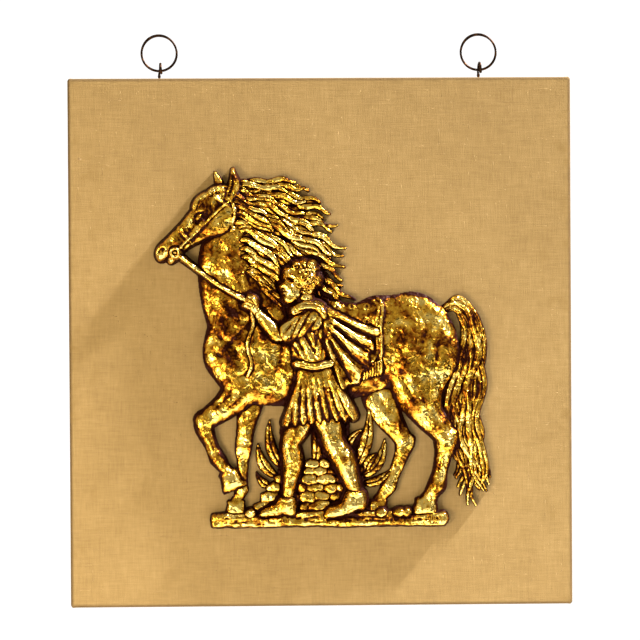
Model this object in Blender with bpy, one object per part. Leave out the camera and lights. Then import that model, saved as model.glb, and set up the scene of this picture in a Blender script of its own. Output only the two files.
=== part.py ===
"""A cut-out relief of a walking horse and its groom, cast in brass and fixed to a linen-covered board.

The board hangs from two screw eyes with loose rings. It faces -Y, and its hems' back face is the
plane Y = 0. The origin is the middle of the top hem, where the back meets a wall.
"""
import math

import bmesh
import bpy
import numpy as np

# Driving dimensions, in metres
PLAQUE_WIDTH = 0.508
PLAQUE_HEIGHT = 0.534
PLAQUE_DEPTH = 0.020
PLAQUE_CORNER = 0.0030
EDGE_ROUND = 0.0022
LINEN_THICK = 0.0009
HEM_WIDTH = 0.040
TOUCH_GAP = 0.0003
RELIEF_HEIGHT = 0.3645
RELIEF_FOOT_RISE = 0.0793
RELIEF_SHIFT = 0.0015
HANGER_SPACING = 0.3235
EYE_WIRE = 0.0026
EYE_HOLE = 0.0076
EYE_NECK = 0.0040
EYE_DRIFT = 0.9 * EYE_WIRE
SHANK_DIAMETER = 0.0026
SHANK_LENGTH = 0.016
RING_DIAMETER = 0.0382
RING_WIRE = 0.0024
RING_PLAY = 0.0004

# Fineness of the faceted solids
CORNER_POINTS = 5
SMALLEST_CORNER = 0.0008
WIRE_SIDES = 8
RING_STEPS = 36
LOOP_STEPS = 22
CARVING_STEP = 1.2
SMALLEST_HOLE = 6.0
RELIEF_TRIANGLES = 6700

# Worked out from the driving dimensions
SKIN = LINEN_THICK + TOUCH_GAP
TOP_EDGE = 0.5 * HEM_WIDTH
CENTRE_Z = TOP_EDGE - 0.5 * PLAQUE_HEIGHT
MIDDLE_Y = -0.5 * PLAQUE_DEPTH
EYE_MEAN_RADIUS = 0.5 * (EYE_HOLE + EYE_WIRE)
EYE_CENTRE_Z = TOP_EDGE + EYE_NECK + EYE_WIRE + 0.5 * EYE_HOLE
RING_MEAN_RADIUS = 0.5 * (RING_DIAMETER - RING_WIRE)
PIVOT_Z = EYE_CENTRE_Z - 0.5 * EYE_HOLE + RING_PLAY + 0.5 * RING_WIRE
SHANK_BORE_RADIUS = 0.5 * SHANK_DIAMETER + TOUCH_GAP

# The carving is drawn in its own millimetres, this tall from the foot of the strip to the ears
DRAWN_TALL = 366.0
DRAWN_FOOT = -15.4
DRAWN_MIDDLE = 7.2

# The carving's own units: millimetres on a drawing whose height is DRAWN_TALL
RIM_LEVEL = 2.5
FAR_BELOW = -60.0
WALL_SLOPE = 2.6
GROOVE = 1.6
GROOVE_WIDTH = 2.2
STROKE_WIDTH = 1.6
EDGE_DROP = 0.6


class Drawing:
    """A grid of points over the relief's face, on which heights are carved."""

    def __init__(self, left, right, bottom, top, step):
        self.xs = np.arange(left, right + 0.5 * step, step)
        self.zs = np.arange(bottom, top + 0.5 * step, step)
        self.step = step
        self.x, self.z = np.meshgrid(self.xs, self.zs)

    def blank(self):
        return np.full(self.x.shape, FAR_BELOW)

    def window(self, x0, x1, z0, z1):
        a, b = np.searchsorted(self.xs, (x0, x1))
        c, d = np.searchsorted(self.zs, (z0, z1))
        return slice(max(c - 1, 0), d + 1), slice(max(a - 1, 0), b + 1)


def smooth_line(points, per_span=8):
    """A Catmull-Rom curve through the points, with every column smoothed alike."""
    p = np.array(points, float)
    ends = np.vstack([2 * p[0] - p[1], p, 2 * p[-1] - p[-2]])
    t = (np.arange(per_span) / per_span)[:, None]
    spans = []
    for a, b, c, d in zip(ends[:-3], ends[1:-2], ends[2:-1], ends[3:]):
        bend = (2 * a - 5 * b + 4 * c - d) * t ** 2 + (3 * b - a - 3 * c + d) * t ** 3
        spans.append(0.5 * (2 * b + (c - a) * t + bend))
    return np.vstack(spans + [p[-1:]])


def blend(a, b, width):
    """The higher of two surfaces, with the corner between them filled over a width."""
    high = np.maximum(a, b)
    if width <= 0:
        return high
    return high + np.clip(width - np.abs(a - b), 0, None) ** 2 / (4 * width)


def tube(g, points, per_span=8, places=False):
    """A round limb along points (x, z, radius, height of its edge, crown above the edge)."""
    line = smooth_line(points, per_span)
    h, along, across = g.blank(), np.zeros(g.x.shape), np.full(g.x.shape, 9.0)
    far = 12.0 + line[:, 2].max()
    last = max(len(line) - 2, 1)
    for i, (a, b) in enumerate(zip(line[:-1], line[1:])):
        rows, cols = g.window(min(a[0], b[0]) - far, max(a[0], b[0]) + far,
                              min(a[1], b[1]) - far, max(a[1], b[1]) + far)
        x, z = g.x[rows, cols], g.z[rows, cols]
        dx, dz = b[0] - a[0], b[1] - a[1]
        size = max(dx * dx + dz * dz, 1e-9)
        t = np.clip(((x - a[0]) * dx + (z - a[1]) * dz) / size, 0, 1)
        ex, ez = x - a[0] - t * dx, z - a[1] - t * dz
        r, edge, crown = (a[k] + t * (b[k] - a[k]) for k in (2, 3, 4))
        out = np.hypot(ex, ez)
        dome = crown * np.sqrt(np.clip(1 - (out / r) ** 2, 0, 1))
        new = edge + dome - WALL_SLOPE * np.clip(out - r, 0, None)
        better = new > h[rows, cols]
        h[rows, cols] = np.where(better, new, h[rows, cols])
        if places:
            side = np.sign(ex * dz - ez * dx) * out / r
            along[rows, cols] = np.where(better, (i + t) / (last + 1), along[rows, cols])
            across[rows, cols] = np.where(better, side, across[rows, cols])
    return (h, along, across) if places else h


def plate(g, outline, height, edge=3.0, crown=0.0, per_span=6, curved=True):
    """A flat shape inside an outline, rounded over at its edge, and its depth inside the outline."""
    p = [tuple(q) for q in outline]
    if curved:
        ring = smooth_line(p[-2:] + p + p[:2], per_span)[2 * per_span:-1 - per_span][:per_span * len(p)]
    else:
        ring = np.array(p, float)
    nearest = np.full(g.x.shape, 1e9)
    inside = np.zeros(g.x.shape, bool)
    far = 14.0
    (x0, z0), (x1, z1) = ring.min(0) - far, ring.max(0) + far
    window = g.window(x0, x1, z0, z1)
    x, z = g.x[window], g.z[window]
    near, within = nearest[window], inside[window]
    for a, b in zip(ring, np.roll(ring, -1, 0)):
        d = b - a
        t = np.clip(((x - a[0]) * d[0] + (z - a[1]) * d[1]) / max(float(d @ d), 1e-9), 0, 1)
        np.minimum(near, np.hypot(x - a[0] - t * d[0], z - a[1] - t * d[1]), out=near)
        if a[1] != b[1]:
            crosses = ((a[1] > z) != (b[1] > z)) & (x < d[0] * (z - a[1]) / d[1] + a[0])
            within ^= crosses
    depth = np.where(inside, nearest, -nearest)
    depth[nearest > 1e8] = -far
    share = np.clip(depth / edge, 0, 1)
    low = height - EDGE_DROP * edge
    h = low + EDGE_DROP * edge * np.sqrt(1 - (1 - share) ** 2)
    h = h + crown * np.sqrt(np.clip(depth / max(depth.max(), 1e-9), 0, 1))
    return np.where(depth < 0, low + WALL_SLOPE * depth, h), depth


def over(base, top, groove=GROOVE, width=GROOVE_WIDTH, fillet=0.0):
    """One form laid in front of another, with a groove along the seam behind it."""
    away = np.clip((base - top) / WALL_SLOPE, 0, None)
    return blend(base - groove * np.exp(-(away / width) ** 2), top, fillet)


def pile(base, tops, groove=GROOVE, width=GROOVE_WIDTH):
    """Several forms laid one in front of the other."""
    for top in tops:
        base = over(base, top, groove, width)
    return base


def stroke(g, h, points, depth, width=STROKE_WIDTH, per_span=8):
    """A line cut into the surface, or raised on it where the depth is negative."""
    line = smooth_line([(p[0], p[1], p[2] if len(p) > 2 else 1.0) for p in points], per_span)
    far = 3 * width
    share = np.zeros(g.x.shape)
    for a, b in zip(line[:-1], line[1:]):
        rows, cols = g.window(min(a[0], b[0]) - far, max(a[0], b[0]) + far,
                              min(a[1], b[1]) - far, max(a[1], b[1]) + far)
        x, z = g.x[rows, cols], g.z[rows, cols]
        dx, dz = b[0] - a[0], b[1] - a[1]
        t = np.clip(((x - a[0]) * dx + (z - a[1]) * dz) / max(dx * dx + dz * dz, 1e-9), 0, 1)
        out = np.hypot(x - a[0] - t * dx, z - a[1] - t * dz)
        here = np.exp(-(out / width) ** 2) * (a[2] + t * (b[2] - a[2]))
        share[rows, cols] = np.maximum(share[rows, cols], here)
    return h - depth * share


def tapered(points):
    """The points of a stroke that fades out at both ends."""
    last = len(points) - 1
    return [(x, z, 0.0 if i in (0, last) else 1.0) for i, (x, z) in enumerate(points)]


def spread(field, g, width):
    """A field blurred by a bell curve of the given width."""
    reach = max(int(round(2.5 * width / g.step)), 1)
    weights = np.exp(-0.5 * (np.arange(-reach, reach + 1) * g.step / width) ** 2)
    weights /= weights.sum()
    for axis in (0, 1):
        pads = [(reach, reach) if k == axis else (0, 0) for k in (0, 1)]
        wide = np.pad(field, pads, mode="edge")
        n = field.shape[axis]
        field = sum(w * np.take(wide, np.arange(k, k + n), axis) for k, w in enumerate(weights))
    return field


def soften(h, g, width, level):
    """The surface above a level smoothed, with its outline kept."""
    solid = (h > level).astype(float)
    mean = spread(h * solid, g, width) / np.maximum(spread(solid, g, width), 1e-6)
    return np.where(solid > 0, mean, h)


def limbs(g, parts, fillet, per_span=8):
    h = g.blank()
    for points in parts:
        h = blend(h, tube(g, points, per_span), fillet)
    return h


def hoof(g, top, toe, heel, height):
    """A hoof, from the middle of its top to its toe and heel, with a low ridge around its top."""
    across = (heel[0] - toe[0], heel[1] - toe[1])
    front = (top[0] - 0.34 * across[0], top[1] - 0.34 * across[1])
    back = (top[0] + 0.32 * across[0], top[1] + 0.32 * across[1])
    wall = plate(g, [front, toe, heel, back], height, edge=3.6, crown=1.5, curved=False)[0]
    ridge = tube(g, [(*front, 1.5, height - 3.2, 3.4), (*back, 1.4, height - 3.2, 3.2)], 3)
    return blend(wall, ridge, 0.5)


def far_fore_leg(g):
    upper = [(-62, 140, 20, 2, 0.6), (-66, 112, 13.5, 3, 4), (-70, 90, 9.6, 3.2, 5.5),
             (-72, 74, 8.4, 3.4, 5)]
    cannon = [(-72, 74, 8.8, 3.4, 5.4), (-73, 64, 8.2, 3.4, 5.2), (-73.5, 54, 6, 3.2, 3.6),
              (-74, 34, 5.2, 3.2, 3.6), (-75, 25, 6.8, 3.4, 4.4)]
    pastern = [(-75, 25, 6.8, 3.4, 4.4), (-78, 17, 5.4, 3.2, 3.8), (-80, 13, 6, 3.2, 3.8)]
    return blend(limbs(g, [upper, cannon, pastern], 1.5), hoof(g, (-80.5, 12), (-92, -2), (-69, -2), 7), 0.4)


def far_hind_leg(g):
    upper = [(80, 150, 30, 1.5, 0.6), (68, 124, 23, 2.5, 3), (72, 102, 15.5, 3, 6.5), (84, 82, 10.5, 3.2, 6),
             (91, 71, 9.2, 3.4, 5.2)]
    cannon = [(97, 75, 4, 3.2, 3), (91, 70, 9.2, 3.4, 5.2), (87, 58, 7.2, 3.2, 4.2), (79, 38, 6, 3.2, 4),
              (74, 27, 7.6, 3.4, 4.8)]
    pastern = [(74, 27, 7.6, 3.4, 4.8), (67, 17, 5.8, 3.2, 4), (64, 13, 6.2, 3.2, 4)]
    return blend(limbs(g, [upper, cannon, pastern], 1.5), hoof(g, (63.5, 12), (49, -2), (73, -2), 7), 0.4)


def near_fore_leg(g):
    upper = [(-62, 150, 25, 3, 8), (-74, 127, 18, 6, 9), (-90, 110, 12.6, 6.4, 8.4),
             (-105, 99, 10, 6.6, 7.2), (-112, 94, 9.2, 6.6, 7)]
    cannon = [(-113, 95, 9, 6.6, 7.4), (-112, 86, 8.2, 6.6, 6), (-105, 69, 5.8, 6, 4.6),
              (-99, 56, 7.2, 6, 5.6)]
    pastern = [(-99, 56, 7.2, 6, 5.6), (-92, 46, 5.4, 5.8, 4.6), (-89, 42, 6, 5.6, 4.6)]
    raised = hoof(g, (-88, 41), (-92, 22), (-72, 30), 10.5)
    return blend(limbs(g, [upper, cannon, pastern], 1.5), raised, 0.4)


def near_hind_leg(g):
    upper = [(98, 190, 34, 1, 8), (106, 158, 33, 5, 11), (103, 128, 24.5, 6, 11), (112, 103, 16, 6.4, 9.5),
             (126, 84, 11.2, 6.6, 8), (132, 74, 10, 6.8, 7.4)]
    cannon = [(139, 80, 4, 6.4, 4), (132, 73, 10, 6.8, 7.2), (130, 61, 7.8, 6.4, 5.4),
              (126, 42, 6.4, 6.2, 5), (123, 28, 8.2, 6.4, 6)]
    pastern = [(123, 28, 8.2, 6.4, 6), (116, 17, 6.2, 6.2, 5), (113, 13, 6.8, 6, 5)]
    return blend(limbs(g, [upper, cannon, pastern], 1.5), hoof(g, (112, 12.5), (97, -2), (122, -2), 11), 0.4)


def trunk(g):
    """The horse's barrel, chest, neck and haunch."""
    barrel = [(-50, 164, 54, 4, 11.5), (0, 162, 53, 4, 11.5), (44, 166, 46, 4, 11), (76, 174, 42, 4, 10.5)]
    haunch = [(66, 186, 34, 3, 9), (100, 180, 38, 4, 11), (110, 162, 36, 4, 11.5)]
    shoulder = [(-36, 206, 20, 2, 9), (-60, 172, 31, 4, 12.5), (-74, 148, 29, 4, 12)]
    neck = [(-60, 186, 44, 4, 11), (-78, 218, 36, 4, 10.5), (-88, 252, 29, 4, 10), (-87, 284, 23, 4, 9)]
    breast = [(-90, 200, 15, 1, 9), (-95, 176, 16, 3.4, 10), (-95, 156, 16.5, 4, 10.5), (-80, 134, 14, 3, 9)]
    h = limbs(g, [barrel, haunch], 6, 14)
    for part, fillet in ((shoulder, 5), (neck, 6), (breast, 6)):
        h = blend(h, tube(g, part, 14), fillet)
    return h


RIBS = (-20, -6, 8, 22, 36)


MUSCLE_DEPTH = 1.5


def muscles(g, h):
    """The hollows between the horse's muscles, its ribs, and the tendons of its legs."""
    hollows = (
        ([(-40, 216), (-62, 196), (-90, 168), (-104, 152)], 1.5, 4.2),
        ([(-36, 190), (-34, 160), (-46, 134)], 1.3, 4),
        ([(-56, 152), (-70, 142), (-90, 134)], 1.2, 3.4),
        ([(-92, 286), (-97, 256), (-104, 226), (-106, 196)], 1.1, 5),
        ([(-78, 280), (-72, 254), (-64, 230), (-46, 212)], 0.8, 5),
        ([(-84, 178), (-78, 160), (-62, 148)], 0.9, 4),
        ([(-107, 190), (-94, 178), (-82, 172)], 0.8, 2.6), ([(-108, 172), (-96, 160), (-80, 156)], 0.7, 2.4),
        ([(-84, 272), (-90, 240), (-88, 212), (-76, 190)], 0.5, 4),
        ([(52, 206), (58, 176), (66, 146), (76, 124)], 1.8, 5),
        ([(88, 214), (84, 184), (88, 158)], 0.8, 5),
        ([(104, 212), (112, 190), (108, 166), (100, 150)], 0.8, 4),
        ([(128, 190), (122, 158), (116, 128)], 1.4, 4),
        ([(84, 152), (92, 128), (104, 108)], 1.0, 3.2),
        ([(118, 116), (126, 100), (134, 84)], 1.1, 2.2), ([(104, 128), (110, 112), (118, 98)], 0.8, 2.4),
        ([(60, 126), (68, 112), (80, 96)], 0.8, 2.8), ([(80, 116), (86, 100), (92, 84)], 0.6, 2),
        ([(-80, 130), (-94, 113), (-106, 103)], 1.0, 2.4), ([(-66, 128), (-82, 112), (-98, 100)], 0.6, 2),
        ([(-104, 98), (-102, 84), (-98, 68)], 0.7, 1.6),
        ([(-66, 120), (-70, 104), (-72, 88)], 0.7, 2.2),
        ([(44, 126), (62, 130), (74, 142)], 1.0, 3.4),
        ([(-42, 122), (-14, 113), (20, 115), (46, 124)], 0.7, 3),
        ([(-110, 84), (-105, 72), (-101, 60)], 0.5, 1.1), ([(129, 62), (125, 46), (122, 32)], 0.5, 1.2),
        ([(86, 60), (79, 44), (74, 32)], 0.45, 1.1), ([(-71, 62), (-72, 46), (-73, 30)], 0.45, 1.1),
    )
    for points, depth, width in hollows:
        h = stroke(g, h, tapered(points), MUSCLE_DEPTH * depth, width)
    for x in RIBS:
        h = stroke(g, h, tapered([(x + 6, 176), (x, 150), (x - 4, 128), (x - 4, 114)]), 0.8, 2.8)
    return h


POLL = (-86.0, 322.0)
FACE_SLANT = math.radians(222.0)
HEAD_SCALE = 1.04


def on_head(along, side):
    """A drawing point, from a distance down the face from the poll and one towards the brow."""
    c, s = math.cos(FACE_SLANT), math.sin(FACE_SLANT)
    a, b = HEAD_SCALE * along, HEAD_SCALE * side
    return POLL[0] + a * c + b * s, POLL[1] + a * s - b * c


def head_line(points):
    return [(*on_head(p[0], p[1]), *p[2:]) for p in points]


def horse_head(g):
    brow_side = [(-3, 2), (3, 9.5), (14, 13.5), (28, 14.6), (44, 11.8), (60, 10), (74, 9.8), (84, 9.4)]
    muzzle = [(91, 5.5), (93, -0.5), (90.5, -4.4), (85, -5.6), (86, -9.5), (81, -12.6), (73, -10.6)]
    jaw_side = [(60, -12), (46, -16.5), (34, -23), (20, -26.5), (8, -23), (-2, -14)]
    outline = brow_side + muzzle + jaw_side
    h = plate(g, head_line(outline), 13, edge=8, per_span=4)[0]
    masses = (
        [(6, -8, 8, 7, 6), (14, -10, 14, 9, 7), (24, -12, 14.5, 9, 7.4), (34, -11, 10, 9, 6)],
        [(6, 4, 8, 9, 5.5), (26, 7, 8, 9, 6), (50, 5.5, 6, 9, 5.6), (74, 4.5, 5, 9, 4.6)],
        [(36, -2, 4, 9, 6.6), (50, -4, 3.6, 9, 5.8), (62, -5, 3, 9, 5)],
        [(80, 2.5, 7, 9, 5), (87, 0.5, 5, 9, 4.4)],
        [(80, -8.5, 3.8, 8, 3.8), (84, -9, 3, 8, 3.4)],
    )
    for points in masses:
        h = blend(h, tube(g, head_line(points)), 1.6)
    mouth = [(91, -3.6), (84, -4.8), (76, -4.2)]
    nostril = [(87.5, 4.2), (84, 5.2), (81.5, 3.4), (84, 2.4)]
    nostril_rim = [(89, 5.4), (84, 7.6), (79.5, 4.2), (82.5, 0.6)]
    eye_socket = [(30, 3.4), (34, 6.8), (40, 5.6), (42, 2.2), (37, 0.4), (31, 1.8)]
    brow = [(28, 5.6), (34, 8.8), (41, 7.6)]
    jaw = [(40, -12), (52, -8.5), (64, -7.5)]
    h = stroke(g, h, head_line(mouth), 2.2, 1.1)
    h = stroke(g, h, head_line(nostril), 2.6, 1.5)
    h = stroke(g, h, head_line(nostril_rim), -1.0, 1.2)
    h = stroke(g, h, head_line(eye_socket), 1.6, 1.5)
    h = blend(h, tube(g, head_line([(34.4, 3.6, 2.7, 13.6, 2.6), (37.6, 3.4, 2.5, 13.6, 2.6)]), 4), 0.3)
    h = stroke(g, h, head_line(brow), -1.1, 1.4)
    return stroke(g, h, head_line(jaw), 0.9, 2.6)


def bridle(g, h):
    """Straps on the horse's head, each standing a little above the skin beside it."""
    straps = (
        [(-1, -5), (20, -4), (48, -6), (76, -6.5)],
        [(57, 10.5), (58, 0), (58, -12)],
        [(9, 12), (10, 2), (7, -6)],
        [(2, -6), (6, -16), (20, -27)],
    )
    for points in straps:
        line = head_line(points)
        h = stroke(g, stroke(g, h, line, 1.0, 3.0), line, -2.4, 1.5)
    for along, side in ((9, -4.2), (58, -6)):
        x, z = on_head(along, side)
        h = stroke(g, h, [(x - 0.6, z), (x + 0.6, z)], -1.4, 2.2, 2)
    return h


def ears(g):
    near = tube(g, [(-86, 318, 5.6, 9, 4), (-80.5, 331, 5.6, 9, 4.4), (-82, 347.6, 1, 8, 1)])
    near = stroke(g, near, [(-85.5, 322), (-82, 332), (-82.6, 342)], 2.4)
    far = tube(g, [(-97, 322, 4.6, 6, 3), (-95.5, 332, 4.6, 6, 3), (-100, 345, 1, 5, 1)])
    return near, far


def lock(g, points, wide, edge, crown, wave=0.0, phase=0.0, turns=1.2, strands=0.0):
    """A lock of hair: narrow at its root, widest a third of the way along, and drawn out to a tip."""
    line = smooth_line(points, 7)
    t = np.linspace(0, 1, len(line))
    run = np.gradient(line, axis=0)
    run /= np.maximum(np.linalg.norm(run, axis=1, keepdims=True), 1e-9)
    sway = wave * t ** 0.6 * np.sin(phase + 2 * math.pi * turns * t)
    x, z = line[:, 0] - run[:, 1] * sway, line[:, 1] + run[:, 0] * sway
    swell = (t + 0.02) ** 0.6 * (1 - 0.94 * t) ** 0.75
    r = wide * swell / swell.max()
    rise = crown * (0.35 + 0.65 * swell / swell.max())
    path = list(zip(x, z, np.maximum(r, 0.7), np.full(len(t), edge), rise))
    h, along, across = tube(g, path, 2, places=True)
    ribs = 0.5 - 0.5 * np.cos(across * math.pi * 3)
    return np.where(np.abs(across) < 1, h - strands * ribs * (1 - 0.7 * along), h)


MANE_ROWS = ((24, 88, 4.3, 3.2), (25, 74, 4.1, 5.2), (25, 58, 3.9, 7.2), (24, 40, 3.6, 9.2))


def mane(g, strands):
    """Four rows of thin wavy locks that stream back from the crest of the neck."""
    rng = np.random.default_rng(21)
    crest = smooth_line([(-94, 326), (-82, 317), (-70, 294), (-63, 266), (-54, 242), (-38, 222)], 8)
    h = g.blank()
    for row, (count, long, wide, edge) in enumerate(MANE_ROWS):
        for i in range(count):
            s = (i + 0.5 * (row % 2)) / (count - 0.4)
            root = crest[int(round(s * (len(crest) - 1)))]
            x, z = root[0] + rng.uniform(-5, 4) - 3 * row, root[1] + rng.uniform(-3, 3)
            reach = long * (0.86 + 0.24 * math.sin(s * math.pi)) + rng.uniform(-9, 7)
            lift = 0.24 - 0.60 * s - 0.11 * row + rng.uniform(-0.09, 0.09)
            dx, dz = reach * math.cos(lift), reach * math.sin(lift)
            sag = 0.20 * reach * (0.5 + s)
            points = [(x, z), (x + 0.2 * dx, z + 0.2 * dz + 3), (x + 0.45 * dx, z + 0.45 * dz + 2),
                      (x + 0.75 * dx, z + 0.75 * dz - 0.4 * sag), (x + dx, z + dz - sag)]
            swing = 5.0 * s + 1.1 * row + rng.uniform(-0.5, 0.5)
            h = over(h, lock(g, points, wide, edge, 3.9, 2.1, swing, reach / 26, strands), 1.3, 0.9)
    for i in range(5):
        points = [(-88 - 3 * i, 324), (-95 - 4 * i, 329 - 2 * i), (-103 - 4 * i, 322 - 3 * i),
                  (-106 - 3 * i, 308 - 4 * i)]
        h = over(h, lock(g, points, 3.2, 11, 3.4, 1.2, 1.6 * i, 1.2, strands), 0.7, 0.9)
    return h


def tail(g, strands):
    rng = np.random.default_rng(4)
    count = 21
    h = g.blank()
    for i in sorted(range(count), key=lambda k: (k * 8) % count):
        s = i / (count - 1) - 0.5
        side = 1 if i % 2 else -1
        short = rng.uniform(-12, 10) + 30 * abs(s)
        points = [(128, 205 + 7 * s), (143 + 5 * s, 211 + 11 * s), (157 + 11 * s, 194 + 8 * s),
                  (159 + 20 * s + 2.4 * side, 160), (151 + 30 * s - 2.4 * side, 122),
                  (149 + 32 * s + 3 * side, 84), (156 + 28 * s - 3 * side, 48 + 0.6 * short),
                  (159 + 28 * s + 5 * side, 14 + short)]
        strand = lock(g, points, 4.6, 3, 4.2 + rng.uniform(-0.8, 1.2), 2.0, 7 * s, 5.0, strands)
        h = over(h, strand, 1.2, 0.9)
    return h


CLOTH_CORNERS = [(-20, 226), (62, 221), (68, 186), (64, 150), (24, 141), (-18, 147), (-24, 186)]


def saddle_cloth(g, h):
    """A cloth on the horse's back, with two bands along its edge and a row of tassels below it."""
    depth = plate(g, CLOTH_CORNERS, 10, edge=2, per_span=5)[1]
    skin = h > RIM_LEVEL
    bands = sum(np.exp(-((depth - away) / 1.3) ** 2) for away in (2.0, 6.5))
    rise = 1.8 * np.clip(depth / 1.2, 0, 1) + 0.9 * bands * (depth > 0)
    h = np.where(skin, h + rise, h)
    for x in range(-8, 60, 15):
        for z in range(164, 216, 15):
            flower = [(x + 2.6 * math.cos(a), z + 2.6 * math.sin(a)) for a in np.linspace(0, 2 * math.pi, 7)]
            h = stroke(g, h, flower, -0.9, 1.1, 2)
    rng = np.random.default_rng(5)
    hem = smooth_line([(66, 152), (46, 145), (24, 140), (2, 142), (-20, 147)], 7)
    for x, z in hem:
        drop = 10 + rng.uniform(-1, 1.5)
        tassel = [(x, z + 2, 1.5, 13.8, 1.8), (x + 0.6, z - 0.5 * drop, 1.9, 13.2, 2),
                  (x - 0.4, z - drop, 1.1, 12.6, 1)]
        h = over(h, tube(g, tassel, 2), 0.6, 0.8)
    return h


def groom_legs(g):
    """Both legs in low boots, the near one trailing with its heel raised."""
    far_leg = [(-6, 112, 13, 9, 6), (-18, 86, 11, 9.5, 6.5), (-25, 71, 8.8, 10, 6.8),
               (-23, 54, 9.2, 10, 6.5), (-26, 34, 6.6, 10, 5.5), (-29, 16, 5, 10, 4.8)]
    near_leg = [(6, 112, 15, 12, 7), (14, 88, 12, 12.5, 7.5), (18, 72, 9.2, 13, 7.8), (28, 55, 9.8, 13, 7.5),
                (35, 36, 6.8, 13, 6.4), (40, 21, 5.2, 13, 5)]
    far_boot = [(-22.5, 16), (-35.5, 17), (-41, 9.5), (-51, 5), (-56, 1), (-55.5, -2), (-40, -1.5),
                (-33, 0.5), (-24, -1.5), (-20.5, 3)]
    near_boot = [(34, 24), (47, 22), (49.5, 13), (47.5, 5.5), (43.5, 5.5), (38, 3.5), (26, -1.5), (12, -3),
                 (10.5, 0.5), (15, 5), (27, 10)]
    far = stroke(g, tube(g, far_leg, 12), tapered([(-21, 80), (-25, 70), (-21, 60), (-20, 50)]), 1.0, 2.2)
    near = stroke(g, tube(g, near_leg, 12), tapered([(16, 84), (20, 72), (25, 62), (33, 48)]), 1.1, 2.2)
    far, near = soften(far, g, 1.0, 2.0), soften(near, g, 1.0, 2.0)
    boots = [plate(g, outline, high, edge=4.5, crown=2.4, per_span=4)[0]
             for outline, high in ((far_boot, 14), (near_boot, 17))]
    far = over(far, soften(boots[0], g, 1.0, 2.0), 0.9, 1.2)
    near = over(near, soften(boots[1], g, 1.0, 2.0), 0.9, 1.2)
    bands = (([(-36, 16), (-29, 14.5), (-22, 15.5)], [(34, 22), (40, 20), (47, 20.5)]),
             ([(-44, 8), (-40, 3.5), (-39, -2)], [(26, 9), (28, 4), (33, 0)]))
    for far_band, near_band in bands:
        far = stroke(g, far, far_band, -1.4, 1.3)
        near = stroke(g, near, near_band, -1.4, 1.3)
    far = stroke(g, far, [(-55, -0.5), (-40, 0.8), (-30, 1.8), (-21, 0.5)], 0.9, 0.8)
    near = stroke(g, near, [(12, -1), (26, 0.8), (38, 5.6), (44, 7.8)], 0.9, 0.8)
    return far, near


TUNIC_WAIST = ((-15, 152), (14, 152))
TUNIC_HEM = ((-33, 91), (42, 98))
PLEATS = 9


def between(a, b, share):
    return a[0] + share * (b[0] - a[0]), a[1] + share * (b[1] - a[1])


def tunic(g):
    """The body of the tunic, its pleated skirt and the belt between them."""
    chest = [(-9, 197, 15, 14, 7), (-8, 182, 19, 14, 8.5), (-5, 164, 17.5, 14, 8), (-1, 150, 15.5, 14, 7.5)]
    torso = tube(g, chest, 16)
    creases = (
        [(-20, 198, 0.3), (-11, 182), (-3, 168), (3, 157, 0.3)],
        [(-25, 186, 0.3), (-17, 174), (-8, 158, 0.4)],
        [(5, 200, 0.3), (3, 182), (7, 170), (5, 157, 0.4)], [(-26, 174, 0.4), (-20, 166), (-13, 156, 0.4)],
        [(-12, 202, 0.3), (-4, 190), (1, 176), (-1, 164, 0.3)], [(10, 190, 0.3), (9, 174), (11, 158, 0.5)],
    )
    for points in creases:
        torso = stroke(g, torso, points, 2.0, 1.8)
    scallops = []
    for i in range(2 * PLEATS + 1):
        x, z = between(*TUNIC_HEM, i / (2 * PLEATS))
        scallops.append((x, z - (2.6 if i % 2 else -1.0)))
    outline = [TUNIC_WAIST[0], (-19, 132), (-27, 108)] + scallops + [(34, 116), (22, 134), TUNIC_WAIST[1]]
    skirt = plate(g, outline, 15.5, edge=4, crown=3.2, per_span=3)[0]
    for i in range(PLEATS):
        s = (i + 0.5) / PLEATS
        top, low = between(*TUNIC_WAIST, s), between(*TUNIC_HEM, s)
        middle = (0.42 * top[0] + 0.58 * low[0] - 2.5, 0.5 * (top[1] + low[1]))
        skirt = stroke(g, skirt, [(*top, 0.6), (*middle, 1), (low[0], low[1] - 3, 1.1)], -3.0, 2.9)
    torso = over(torso, skirt, 1.0, 1.4)
    belt_line = [(-18, 152), (-1, 149), (15, 152)]
    belt = tube(g, [(x, z, 3.4, 19 + 1.4 * (i == 1), 3) for i, (x, z) in enumerate(belt_line)])
    for rise in (-1.1, 1.1):
        belt = stroke(g, belt, [(x, z + rise) for x, z in belt_line], 0.8, 0.6)
    return torso, belt


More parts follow.
